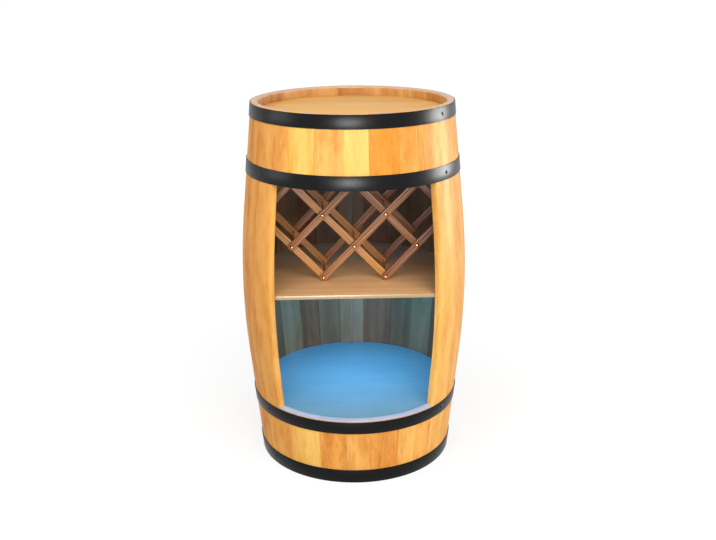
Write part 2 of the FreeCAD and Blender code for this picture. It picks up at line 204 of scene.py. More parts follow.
def duplicate(piece: Object, name: str, place: Matrix) -> Object:
    """Copies a piece with its own mesh.

    Args:
        piece: The object to copy.
        name: The copy's name.
        place: The copy's place and turn, which go into its mesh.

    Returns:
        The copy.
    """
    copy = piece.copy()
    copy.data = piece.data.copy()
    bpy.context.scene.collection.objects.link(copy)
    copy.matrix_world = place
    bpy.context.view_layer.update()
    return settle(copy, name)


def join(pieces: Sequence[Object], name: str) -> Object:
    """Joins several pieces into one object.

    Args:
        pieces: The objects.
        name: The joined object's name.

    Returns:
        The joined object.
    """
    activate(pieces[0])
    for piece in pieces:
        piece.select_set(True)
    if len(pieces) > 1:
        bpy.ops.object.join()
    return settle(bpy.context.view_layer.objects.active, name)


def add_primitive(name: str, operator: Callable[..., set[str]], **settings: object) -> Object:
    """Adds a primitive with nothing else selected.

    Args:
        name: Its name.
        operator: The operator that adds it.
        settings: The operator's settings.

    Returns:
        The new object, at the origin.
    """
    bpy.ops.object.select_all(action="DESELECT")
    operator(**settings)
    return settle(bpy.context.object, name)


def draw_outline(name: str, corners: Sequence[Vector], filled: bool = True) -> Object:
    """Draws a flat outline from corner to corner, starting from one vertex.

    Args:
        name: The new object's name.
        corners: The outline's points, in metres.
        filled: Whether the last point joins the first and a face fills the outline.

    Returns:
        The new object, at the origin.
    """
    piece = add_primitive(name, bpy.ops.mesh.primitive_plane_add, size=MM)
    with editing(piece, start="SELECT"):
        bpy.ops.mesh.merge(type="CENTER")
        bpy.ops.transform.translate(value=corners[0])
        for start, end in zip(corners, corners[1:]):
            bpy.ops.mesh.extrude_vertices_move(TRANSFORM_OT_translate={"value": end - start})
        if filled:
            bpy.ops.mesh.select_all(action="SELECT")
            bpy.ops.mesh.edge_face_add()
    return piece


def spin_round(piece: Object, centre: Vector, axis: Vector, sweep: float, steps: int) -> None:
    """Spins an outline round an axis, to a closed solid.

    Args:
        piece: The outline: filled for part of a turn, open for a full one.
        centre: A point of the axis.
        axis: The axis's direction.
        sweep: Degrees of turn.
        steps: How many sections it gets.
    """
    turn = -math.radians(sweep)  # the operator turns clockwise round its axis
    with editing(piece, start="SELECT"):
        bpy.ops.mesh.spin(steps=steps, angle=turn, center=centre, axis=axis, use_auto_merge=sweep >= FULL_TURN)
    face_outwards(piece)


def turned(name: str, profile: Sequence[tuple[float, float]], steps: int = SMALL_STEPS) -> Object:
    """Turns a small piece round the Z axis.

    Args:
        name: Its name.
        profile: Radius and height of its outline's points, from the lower pole to the upper one.
        steps: How many sections a full turn has.

    Returns:
        The closed piece, at the origin.
    """
    piece = draw_outline(name, [Vector((radius, 0, height)) for radius, height in profile], filled=False)
    spin_round(piece, Vector((0, 0, 0)), Vector((0, 0, -1)), FULL_TURN, steps)
    return piece


def block(name: str, size: Vector, centre: Vector) -> Object:
    """Makes a box, to be shaped further.

    Args:
        name: Its name.
        size: Its length along each axis.
        centre: Its middle.

    Returns:
        The new object, at the origin.
    """
    return add_primitive(name, bpy.ops.mesh.primitive_cube_add, size=1, location=centre, scale=size)


def drum(name: str, radius: float, depth: float, centre: Vector, turn: tuple[float, float, float] = (0, 0, 0),
         sides: int = ROUND_STEPS) -> Object:
    """Makes a cylinder, to be shaped further or cut away.

    Args:
        name: Its name.
        radius: Its radius.
        depth: Its length.
        centre: Its middle.
        turn: Its Euler turn from the Z axis, in radians.
        sides: How many sides it has.

    Returns:
        The new object, at the origin.
    """
    return add_primitive(
        name, bpy.ops.mesh.primitive_cylinder_add, vertices=sides, radius=radius, depth=depth, location=centre,
        rotation=turn,
    )


def arc(radius: float, height: float, count: int = DOME_STEPS) -> list[tuple[float, float]]:
    """Draws the outline of a low dome, from its rim to its pole.

    Args:
        radius: The rim's radius.
        height: The dome's height.
        count: How many straight lines draw it.

    Returns:
        Radius and height of each point.
    """
    ball = (radius**2 + height**2) / (2 * height)
    half = math.asin(radius / ball)
    angles = [half * (1 - index / count) for index in range(count + 1)]
    return [(ball * math.sin(angle), ball * math.cos(angle) - ball + height) for angle in angles]


def hand_over(piece: Object, node: str, body: str = BARREL) -> None:
    """Gives a finished piece to the frame and reports it.

    Args:
        piece: The object, in place.
        node: The CAD node that it stands for.
        body: The CAD body that it moves with.
    """
    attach(piece, body)
    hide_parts(node)
    LOG.info("%s rides on %s for %s, %d faces", piece.name, body, node, len(piece.data.polygons))


# ---------------------------------------------------------------- the barrel's shape


@dataclass(frozen=True)
class BarrelShape:
    """The barrel's side: straight tapering ends that run tangent into a round belly."""

    axis_y: float
    height: float = 0.8
    end_radius: float = 0.216
    belly_radius: float = 0.2485
    knee_height: float = 0.08
    wall: float = 0.016

    @property
    def taper(self) -> float:
        """How far the straight ends lean, in radians."""
        return math.atan((self.belly_radius - self.end_radius) / (self.height / 2 - self.knee_height))

    def outer(self, height: float) -> float:
        """Works out the radius of the outer face.

        Args:
            height: The height, from the floor.

        Returns:
            The radius there.
        """
        off_middle = abs(height - self.height / 2)
        if off_middle > self.knee_height * (1 + math.cos(self.taper)):
            return self.end_radius + (self.height / 2 - off_middle) * math.tan(self.taper)
        arc_radius = self.knee_height / math.tan(self.taper / 2)
        return self.belly_radius - arc_radius + math.sqrt(arc_radius**2 - off_middle**2)

    def inner(self, height: float) -> float:
        """The radius of the inner face at a height."""
        return self.outer(height) - self.wall

    def spot(self, angle: float, radius: float, height: float) -> Vector:
        """A point at an angle round the barrel, a radius and a height."""
        turn = math.radians(angle)
        return Vector((radius * math.sin(turn), self.axis_y - radius * math.cos(turn), height))

    @property
    def centre(self) -> Vector:
        """The foot of the barrel's axis."""
        return Vector((0, self.axis_y, 0))

    def lathe(self, name: str, points: Sequence[tuple[float, float]], start: float, sweep: float,
              filled: bool = True) -> Object:
        """Spins an outline round the barrel's axis.

        Args:
            name: The new object's name.
            points: Radius and height of the outline's points.
            start: The angle at which the turn starts.
            sweep: Degrees of turn.
            filled: Whether the outline is a closed section.

        Returns:
            The closed solid.
        """
        piece = draw_outline(name, [self.spot(start, radius, height) for radius, height in points], filled)
        if filled and sweep >= FULL_TURN:
            with editing(piece, start="SELECT"):
                bpy.ops.mesh.delete(type="ONLY_FACE")
        spin_round(piece, self.centre, Vector((0, 0, 1)), sweep, max(LEAST_STEPS, round(sweep / SPIN_STEP)))
        return piece


# ---------------------------------------------------------------- finishes


def linear(code: str) -> tuple[float, float, float, float]:
    """Turns an sRGB colour to a linear one.

    Args:
        code: The hex code, such as #c08040.

    Returns:
        Red, green, blue and an alpha of 1.
    """
    shares = [int(code[index : index + 2], 16) / 255 for index in (1, 3, 5)]
    red, green, blue = (c / 12.92 if c <= 0.04045 else ((c + 0.055) / 1.055) ** 2.4 for c in shares)
    return red, green, blue, 1.0


def add_node(tree: NodeTree, kind: str, inputs: dict | None = None, **settings: object) -> Node:
    """Adds a node with its settings and links.

    Args:
        tree: The node tree.
        kind: The node's type name without ShaderNode.
        inputs: Socket name or number to a value, or to the output socket that feeds it.
        settings: The node's own properties.

    Returns:
        The node.
    """
    node = tree.nodes.new("ShaderNode" + kind)
    for name, value in settings.items():
        setattr(node, name, value)
    for key, value in (inputs or {}).items():
        if isinstance(value, NodeSocket):
            tree.links.new(value, node.inputs[key])
        else:
            node.inputs[key].default_value = value
    return node


MIX_COLOUR = {"data_type": "RGBA"}  # the settings of a Mix node for colours
MIX_FACTOR, MIX_A, MIX_B, MIX_RESULT = 0, 6, 7, 2  # the colour sockets of Blender's Mix node
RING_WAVER = {"Distortion": 3.0, "Detail": 2.0, "Detail Scale": 0.6, "Detail Roughness": 0.5}
FIBRE_NOISE = {"Detail": 3.0, "Roughness": 0.6}
FIBRE_SPREAD = {"From Min": 0.35, "From Max": 0.7}  # the part of the noise that draws fibres
PATCH_SPREAD = {"From Min": 0.4, "From Max": 0.65}
BLOTCH_SPREAD = {"From Min": 0.52, "From Max": 0.36}  # falling, as the low parts are the dark ones
PATCH_DETAIL = 4.0
PATCH_PERIODS = 2.2  # how often the noise swings over a patch's size
PATCH_STRETCH = 0.32  # how much of a patch's change across the board there is along it
GLOSS_SPREAD = (0.05, 0.08)  # how far the roughness goes below and above its value on timber
MOTTLE_GLOSS = 0.04  # the same on paint, plastic and metal
MOTTLE_DETAIL, GRAIN_DETAIL = 2.0, 1.0
KNEE_SPREAD = 9 * MM  # how far the bend of the grain is spread round the belly
KNOT_OVAL = (1.0, 1.0, 0.6)  # a knot is longer along the grain
KNOT_SPREAD = {"From Min": 1.5 * MM, "From Max": 11 * MM, "To Min": 0.75, "To Max": 0.0}
KNOT_BROWN = "#7a3f16"


@dataclass(frozen=True)
class Finish:
    """What every finish has: a name, the shader's uniform numbers and a pattern."""

    name: str
    metallic: float = 0.0
    ior: float = 1.5
    coat: float = 0.0
    coat_roughness: float = 0.2

    def material(self, shape: BarrelShape) -> Material:
        """Makes the finish's material.

        Args:
            shape: The barrel, along whose side the grain of timber may be bent.

        Returns:
            The material.
        """
        material = bpy.data.materials.new(self.name)
        material.use_nodes = True
        tree = material.node_tree
        shader = tree.nodes["Principled BSDF"]
        shader.inputs["Metallic"].default_value = self.metallic
        shader.inputs["IOR"].default_value = self.ior
        shader.inputs["Coat Weight"].default_value = self.coat
        shader.inputs["Coat Roughness"].default_value = self.coat_roughness
        place = add_node(tree, "TexCoord").outputs["Object"]
        for socket, source in self.pattern(tree, place, shape).items():
            tree.links.new(source, shader.inputs[socket])
        return material

    def pattern(self, tree: NodeTree, place: NodeSocket, shape: BarrelShape) -> dict[str, NodeSocket]:
        """Draws the finish's pattern.

        Args:
            tree: The material's tree.
            place: The object's coordinates.
            shape: The barrel.

        Returns:
            What feeds each of the shader's sockets that isn't uniform.
        """
        raise NotImplementedError


@dataclass(frozen=True)
class Timber(Finish):
    """Sawn timber under lacquer, stain or oil.

    The pattern is a solid one: rings round a pith that lies along the board, and fibres along it, so
    that an end shows end grain. Broad patches lighten it and blotches darken it. Its sizes are in
    millimetres.
    """

    early: str = "#f0b060"
    late: str = "#d89048"  # the late wood, and the fibres and blotches
    flush: str = "#f8c880"  # the lighter patches
    turn_deg: tuple[float, float, float] = (0.0, 0.0, 0.0)  # lays the grain along Z
    pith_mm: tuple[float, float, float] = (0.0, 0.0, 0.0)  # where the origin is from the pith
    ring_mm: float = 9.0
    ring_share: float = 0.5  # how strongly the rings show, from 0 to 1, as with the other shares
    fibre_mm: float = 1.6  # real fibres are finer, and this is as fine as shows
    fibre_share: float = 0.35
    patch_mm: float = 70.0
    patch_share: float = 0.5
    patch_roughness: float = 0.5  # how much fine detail the patches and blotches have
    blotch_share: float = 0.0
    stretch: float = 0.03  # how much of a ring's waver across the board there is along it
    roughness: float = 0.42
    relief_mm: float = 0.05
    relief_share: float = 0.35  # the strength of the relief
    bent: bool = False  # whether the grain follows the barrel's side
    knots_mm: tuple[tuple[float, float, float], ...] = ()  # their hearts, from the straightened barrel's middle

    def pattern(self, tree: NodeTree, place: NodeSocket, shape: BarrelShape) -> dict[str, NodeSocket]:
        """Draws rings, fibres, patches, blotches and knots.

        Args:
            tree: The material's tree.
            place: The object's coordinates.
            shape: The barrel, along whose side the grain may be bent.

        Returns:
            What feeds the shader's colour, roughness and normal.
        """
        if self.bent:
            place = self.unbend(tree, place, shape)
        turn = [math.radians(angle) for angle in self.turn_deg]
        pith = [value * MM for value in self.pith_mm]
        along = add_node(tree, "Mapping", {"Vector": place, "Location": pith, "Rotation": turn}).outputs[0]
        drawn, hair, broad = (
            add_node(tree, "VectorMath", {0: along, 1: (1, 1, share)}, operation="MULTIPLY").outputs[0]
            for share in (self.stretch, self.stretch / 3, PATCH_STRETCH)
        )
        rings = add_node(
            tree, "TexWave", {"Vector": drawn, "Scale": WAVE_PERIOD / (self.ring_mm * MM), **RING_WAVER},
            wave_type="RINGS", rings_direction="Z", wave_profile="SIN",
        ).outputs["Fac"]
        fibres = add_node(
            tree, "TexNoise", {"Vector": hair, "Scale": 1 / (self.fibre_mm * MM), **FIBRE_NOISE}
        ).outputs["Fac"]
        patches = add_node(
            tree, "TexNoise",
            {"Vector": broad, "Scale": PATCH_PERIODS / (self.patch_mm * MM), "Detail": PATCH_DETAIL,
             "Roughness": self.patch_roughness},
        ).outputs["Fac"]
        ring_part = add_node(tree, "Math", {0: rings, 1: self.ring_share}, operation="MULTIPLY").outputs[0]
        fibre_part, blotch_part, flush_part = (
            add_node(tree, "MapRange", {"Value": noise, **spread, "To Max": share}).outputs[0]
            for noise, spread, share in (
                (fibres, FIBRE_SPREAD, self.fibre_share),
                (patches, BLOTCH_SPREAD, self.blotch_share),
                (patches, PATCH_SPREAD, self.patch_share),
            )
        )
        figure = add_node(tree, "Math", {0: ring_part, 1: fibre_part}, operation="ADD").outputs[0]
        grain = add_node(tree, "Math", {0: figure, 1: blotch_part}, operation="ADD", use_clamp=True).outputs[0]
        ground = add_node(
            tree, "Mix", {MIX_FACTOR: flush_part, MIX_A: linear(self.early), MIX_B: linear(self.flush)}, **MIX_COLOUR
        ).outputs[MIX_RESULT]
        colour = add_node(
            tree, "Mix", {MIX_FACTOR: grain, MIX_A: ground, MIX_B: linear(self.late)}, **MIX_COLOUR
        ).outputs[MIX_RESULT]
        for knot in self.knots_mm:
            colour = self.knot(tree, place, colour, knot)
        low, high = self.roughness - GLOSS_SPREAD[0], self.roughness + GLOSS_SPREAD[1]
        gloss = add_node(tree, "MapRange", {"Value": grain, "To Min": low, "To Max": high})
        relief = add_node(
            tree, "Bump", {"Height": fibres, "Strength": self.relief_share, "Distance": self.relief_mm * MM}
        )
        return {"Base Color": colour, "Roughness": gloss.outputs[0], "Normal": relief.outputs["Normal"]}

    def unbend(self, tree: NodeTree, place: NodeSocket, shape: BarrelShape) -> NodeSocket:
        """Lays a bent stave's grain straight: each point moves out by as much as the side has drawn in.

        Args:
            tree: The material's tree.
            place: The object's coordinates.
            shape: The barrel.

        Returns:
            The coordinates in which the barrel is a straight drum.
        """
        slope = math.tan(shape.taper)
        level = add_node(tree, "VectorMath", {0: place, 1: (0, -shape.axis_y, -shape.height / 2)}).outputs[0]
        parts = add_node(tree, "SeparateXYZ", {0: level}).outputs
        flat = add_node(tree, "CombineXYZ", {"X": parts["X"], "Y": parts["Y"]}).outputs[0]
        reach = add_node(tree, "VectorMath", {0: flat}, operation="LENGTH").outputs["Value"]
        off = add_node(tree, "Math", {0: parts["Z"], 1: slope}, operation="MULTIPLY").outputs[0]
        square = add_node(tree, "Math", {0: off, 1: off, 2: KNEE_SPREAD**2}, operation="MULTIPLY_ADD").outputs[0]
        root = add_node(tree, "Math", {0: square}, operation="SQRT").outputs[0]
        drop = add_node(tree, "Math", {0: root, 1: KNEE_SPREAD}, operation="SUBTRACT").outputs[0]
        share = add_node(tree, "Math", {0: drop, 1: reach}, operation="DIVIDE").outputs[0]
        push = add_node(tree, "VectorMath", {0: flat, "Scale": share}, operation="SCALE").outputs[0]
        return add_node(tree, "VectorMath", {0: level, 1: push}).outputs[0]

    def knot(self, tree: NodeTree, place: NodeSocket, colour: NodeSocket,
             knot: tuple[float, float, float]) -> NodeSocket:
        """Darkens the wood round one knot.

        Args:
            tree: The material's tree.
            place: The object's coordinates.
            colour: The colour so far.
            knot: Where its heart is, in millimetres.

        Returns:
            The colour with the knot in it.
        """
        heart = [value * MM * squeeze for value, squeeze in zip(knot, KNOT_OVAL)]
        squeezed = add_node(tree, "VectorMath", {0: place, 1: KNOT_OVAL}, operation="MULTIPLY").outputs[0]
        reach = add_node(tree, "VectorMath", {0: squeezed, 1: heart}, operation="DISTANCE").outputs["Value"]
        share = add_node(
            tree, "MapRange", {"Value": reach, **KNOT_SPREAD}, interpolation_type="SMOOTHSTEP"
        ).outputs[0]
        return add_node(
            tree, "Mix", {MIX_FACTOR: share, MIX_A: colour, MIX_B: linear(KNOT_BROWN)}, **MIX_COLOUR
        ).outputs[MIX_RESULT]


@dataclass(frozen=True)
class Enamel(Finish):
    """Paint, moulded plastic or plated metal: one colour with a faint mottle and a grain of its own size."""

    colour: str = "#202022"
    mottle: str = "#2a2a2d"
    mottle_mm: float = 18.0
    grain_mm: float = 1.2  # real paint and mould textures are finer, and this is as fine as shows
    relief_mm: float = 0.01
    relief_share: float = 0.3  # the strength of the relief
    roughness: float = 0.35

    def pattern(self, tree: NodeTree, place: NodeSocket, shape: BarrelShape) -> dict[str, NodeSocket]:
        """Draws the mottle and the grain.

        Args:
            tree: The material's tree.
            place: The object's coordinates.
            shape: The barrel, which this finish doesn't follow.

        Returns:
            What feeds the shader's colour, roughness and normal.
        """
        cloud, grain = (
            add_node(tree, "TexNoise", {"Vector": place, "Scale": 1 / (size * MM), "Detail": detail}).outputs["Fac"]
            for size, detail in ((self.mottle_mm, MOTTLE_DETAIL), (self.grain_mm, GRAIN_DETAIL))
        )
        colour = add_node(
            tree, "Mix", {MIX_FACTOR: cloud, MIX_A: linear(self.colour), MIX_B: linear(self.mottle)}, **MIX_COLOUR
        ).outputs[MIX_RESULT]
        low, high = self.roughness - MOTTLE_GLOSS, self.roughness + MOTTLE_GLOSS
        gloss = add_node(tree, "MapRange", {"Value": cloud, "To Min": low, "To Max": high})
        relief = add_node(
            tree, "Bump", {"Height": grain, "Strength": self.relief_share, "Distance": self.relief_mm * MM}
        )
        return {"Base Color": colour, "Roughness": gloss.outputs[0], "Normal": relief.outputs["Normal"]}


@dataclass(frozen=True)
class LacqueredPine(Timber):
    """Pine that was bent by heat: a soft wandering figure and blotches, under satin lacquer.

    Its IOR is low, as rubbed lacquer glares little.
    """

    ior: float = 1.16
    ring_share: float = 0.25
    fibre_share: float = 0.42
    patch_mm: float = 65.0
    patch_roughness: float = 0.7
    blotch_share: float = 0.32
    stretch: float = 0.15
    roughness: float = 0.48
    bent: bool = True


@dataclass(frozen=True)
class BarePine(Timber):
    """Pine without its lacquer coat, as the inner faces of the staves are."""

    ior: float = 1.4
    ring_mm: float = 11.0
    ring_share: float = 0.3
    patch_mm: float = 60.0
    blotch_share: float = 0.25
    stretch: float = 0.12
    roughness: float = 0.7
    bent: bool = True


@dataclass(frozen=True)
class OiledWalnut(Timber):
    """Walnut stain and oil on a narrow slat: a dull brown with dark pores along it."""

    ior: float = 1.35
    pith_mm: tuple[float, float, float] = (30.0, 12.0, 0.0)
    ring_mm: float = 5.0
    fibre_mm: float = 1.2
    fibre_share: float = 0.6
    patch_share: float = 0.0
    roughness: float = 0.5
    relief_mm: float = 0.08


class Pine(Enum):
    """The tones of the pine that the staves were picked from, and of their inner faces and cut ends."""

    # The commonest tone: warm yellow-orange under a satin lacquer, which softens every highlight.
    HONEY = LacqueredPine(
        "honey_pine_lacquered", early="#f3b05a", late="#cf8234", flush="#f9c66f", pith_mm=(55, 30, 0), ring_mm=14,
    )
    # Sapwood, the palest and yellowest staves, which stand out beside the honey ones.
    STRAW = LacqueredPine(
        "straw_pine_lacquered", early="#f7c768", late="#e0a03f", flush="#fbd284", pith_mm=(-70, 45, 0), ring_mm=17,
    )
    # Heartwood, a strong even orange.
    AMBER = LacqueredPine(
        "amber_pine_lacquered", early="#e6973a", late="#c26a20", flush="#eea850", pith_mm=(20, -85, 0), ring_mm=12,
    )
    # Heartwood with redder late rings, so that its streaks show more.
    RUSSET = LacqueredPine(
        "russet_pine_lacquered", early="#e99b46", late="#b86828", flush="#f2b25c", pith_mm=(-35, -60, 0), ring_mm=11,
    )
    # A browner honey, a shade deeper than its neighbours.
    TAN = LacqueredPine(
        "tan_pine_lacquered", early="#eda44a", late="#c47333", flush="#f5b861", pith_mm=(95, -20, 0), ring_mm=13,
    )
    # Pale and a little pink, with a quiet grain.
    CREAM = LacqueredPine(
        "cream_pine_lacquered", early="#f4b95f", late="#d78f42", flush="#f9cb78", pith_mm=(-15, 95, 0), ring_mm=15,
    )
    # Honey pine with small dark oval knots.
    KNOTTY = LacqueredPine(
        "knotty_pine_lacquered", early="#eea249", late="#be6c2d", flush="#f6b862", pith_mm=(-90, -35, 0), ring_mm=12,
        knots_mm=((-171, -180, 118), (-190, -160, -205), (214, 126, 60), (96, 229, -150)),
    )
    # Three tones of bare pine without lacquer: dull, and darker than bare pine is, as painted shade inside the
    # compartments, so that the blue light tints the walls but doesn't shine.
    RAW = BarePine("raw_pine_inside", early="#876544", late="#694a26", flush="#936f4b", pith_mm=(15, 115, 0))
    RAW_DARK = BarePine(
        "raw_pine_inside_dark", early="#6b4c2f", late="#4e3318", flush="#755736", pith_mm=(-95, 35, 0),
    )
    RAW_RED = BarePine("raw_pine_inside_red", early="#724829", late="#532d13", flush="#7c5232", pith_mm=(105, -15, 0))
    # The inside of the rim, sanded and oiled in two tones, so that each stave shows round the head.
    CHIME = BarePine(
        "pine_inside_chime", early="#d49e5d", late="#aa7439", flush="#e0b070", pith_mm=(-55, 85, 0), roughness=0.5,
    )
    CHIME_DEEP = BarePine(
        "pine_inside_chime_deep", early="#c58440", late="#9b6229", flush="#cf9450", pith_mm=(75, 45, 0),
        roughness=0.5,
    )
    # Cut ends under lacquer: paler and greyer than the sides, with fine rings.
    END = Timber(
        "pine_end_grain_lacquered", early="#d8b08e", late="#bf956f", flush="#e1be9e", pith_mm=(75, 55, 0), ring_mm=3,
        ring_share=0.6, bent=True, coat=0.15,
    )
    # Cut ends sealed pale and matt, which take the light's lilac tint.
    SILL = Timber(
        "pine_end_grain_sealed_pale", early="#c2a999", late="#ac9283", flush="#d1b9a8", pith_mm=(75, 55, 0),
        ring_mm=3, ring_share=0.4, bent=True, roughness=0.5,
    )


# Each of these turns, in degrees, lays the length of its pieces along Z.
RISING_TURN = (0.0, -46.0, 0.0)
FALLING_TURN = (0.0, 46.0, 0.0)
BOARD_TURN = (0.0, 90.0, 0.0)


class Walnut(Enum):
    """The tones of the rack's slats. Each has its grain along its own slats."""

    # Brown, red-brown and golden slats: partly the stained wood's own mixed tones, and partly painted light, as the
    # lower falling slats' gold is painted light and the upper falling slats' brown is painted shadow of the hoop. The
    # lattice shows its crossings.
    RISING_BROWN = OiledWalnut("walnut_brown_rising", early="#bb7b40", late="#683a1b", turn_deg=RISING_TURN)
    RISING_RED = OiledWalnut("walnut_red_rising", early="#a06035", late="#5e3119", turn_deg=RISING_TURN)
    FALLING_GOLD = OiledWalnut("walnut_gold_falling_painted_light", early="#dd9a50", late="#8a5222", turn_deg=FALLING_TURN)
    FALLING_BROWN = OiledWalnut("walnut_brown_falling_painted_shadow", early="#b27745", late="#673c1d", turn_deg=FALLING_TURN)


class Board(Enum):
    """The finishes of the flat boards."""

    # Satin stain on a jointed board: an even warm tan with long faint streaks and no glare.
    HEAD = Timber(
        "head_board_satin", early="#f0b866", late="#db9f4e", flush="#f6c474", turn_deg=BOARD_TURN,
        pith_mm=(0, 40, 620), ring_mm=16, ring_share=0.3, fibre_share=0.45, patch_mm=60, roughness=0.55, ior=1.38,
    )
    # The same stain, a shade browner, with a thin coat that gives the shelf a soft sheen.
    SHELF = Timber(
        "shelf_board_satin", early="#e6b27a", late="#cf9860", flush="#eebd8a", turn_deg=BOARD_TURN,
        pith_mm=(0, -60, 380), ring_mm=13, ring_share=0.3, fibre_share=0.3, patch_mm=110, roughness=0.4, coat=0.15,
    )
    # A grey-green tone under satin with the grain just showing: painted blue-light tint and painted shade on a pale
    # board, which the blue light turns clear blue.
    FLOOR = Timber(
        "floor_board_painted_blue_tint", early="#738985", late="#627673", flush="#7e948f", turn_deg=BOARD_TURN,
        pith_mm=(0, -260, 130), ring_mm=7, ring_share=0.25, fibre_share=0.3, patch_mm=110, roughness=0.4, coat=0.1,
    )
    # A pale maple band that draws a light line along the shelf's front.
    EDGE = Timber(
        "shelf_edge_band_maple", early="#ad8f63", late="#99794d", flush="#b69b72", turn_deg=BOARD_TURN,
        pith_mm=(0, -60, 380), ring_mm=13, ring_share=0.2, fibre_share=0.2, roughness=0.35, coat=0.2,
    )


class Metal(Enum):
    """The finishes of the metal pieces."""

    # Black satin enamel: deep black in front, with soft broad highlights where the hoop turns.
    HOOP = Enamel(
        "black_satin_enamel_on_steel", colour="#0a0a0b", mottle="#0f0f11", mottle_mm=30, grain_mm=1.5,
        relief_mm=0.02, roughness=0.33, ior=1.22,
    )
    # Black oxide: dark heads with a small glint, a shade glossier than the hoops.
    SCREW = Enamel(
        "black_oxide_steel", colour="#17171a", mottle="#222226", mottle_mm=3, grain_mm=0.6, roughness=0.3,
        metallic=0.6,
    )
    # Polished brass: a warm bright point at each crossing.
    BRASS = Enamel(
        "polished_brass", colour="#e3b778", mottle="#d7a562", mottle_mm=4, grain_mm=0.8, relief_mm=0.005,
        roughness=0.2, metallic=1.0,
    )
    # Nickel plate: a small cool glint down in the socket.
    CONTACT = Enamel(
        "nickel_plated_contact", colour="#c9c7c0", mottle="#bbb9b2", mottle_mm=2, grain_mm=0.5, roughness=0.25,
        metallic=1.0,
    )


class Plastic(Enum):
    """The finishes of the lighting's moulded and printed pieces."""

    # Spark-textured black ABS: a matt charcoal that hides its edges.
    BLACK = Enamel(
        "black_abs_spark_textured", colour="#1b1b1c", mottle="#202021", mottle_mm=12, grain_mm=0.9,
        relief_mm=0.04, roughness=0.5,
    )
    # White printed tape, matt and a little warm.
    TAPE = Enamel(
        "white_polyimide_tape", colour="#e9e8e3", mottle="#dedcd5", mottle_mm=9, grain_mm=1.0, roughness=0.45,
    )
    # White moulded chip bodies, which stand out from the tape by their edges.
    CHIP = Enamel(
        "white_ppa_chip_body", colour="#efefec", mottle="#e4e4e0", mottle_mm=3, grain_mm=0.6, roughness=0.4,
    )


class Palette:
    """The materials, each made the first time that a piece asks for it."""

    def __init__(self, shape: BarrelShape) -> None:
        """Starts with no material made."""
        self.shape = shape
        self.made: dict[str, Material] = {}

    def get(self, choice: Enum) -> Material:
        """Makes a finish's material, or finds it if it is made already.

        Args:
            choice: The finish.

        Returns:
            Its one material.
        """
        if choice.value.name not in self.made:
            self.made[choice.value.name] = choice.value.material(self.shape)
        return self.made[choice.value.name]

    def dress(self, piece: Object, *choices: Enum) -> None:
        """Gives a piece its finishes.

        Args:
            piece: The object.
            choices: Its finishes, in the order of its material slots.
        """
        piece.data.materials.clear()
        for choice in choices:
            piece.data.materials.append(self.get(choice))


# ---------------------------------------------------------------- the barrel


class StaveSlot(IntEnum):
    """The material slots of a stave."""

    SIDE = 0
    INSIDE = 1
    CHIME = 2
    END = 3
    SILL = 4


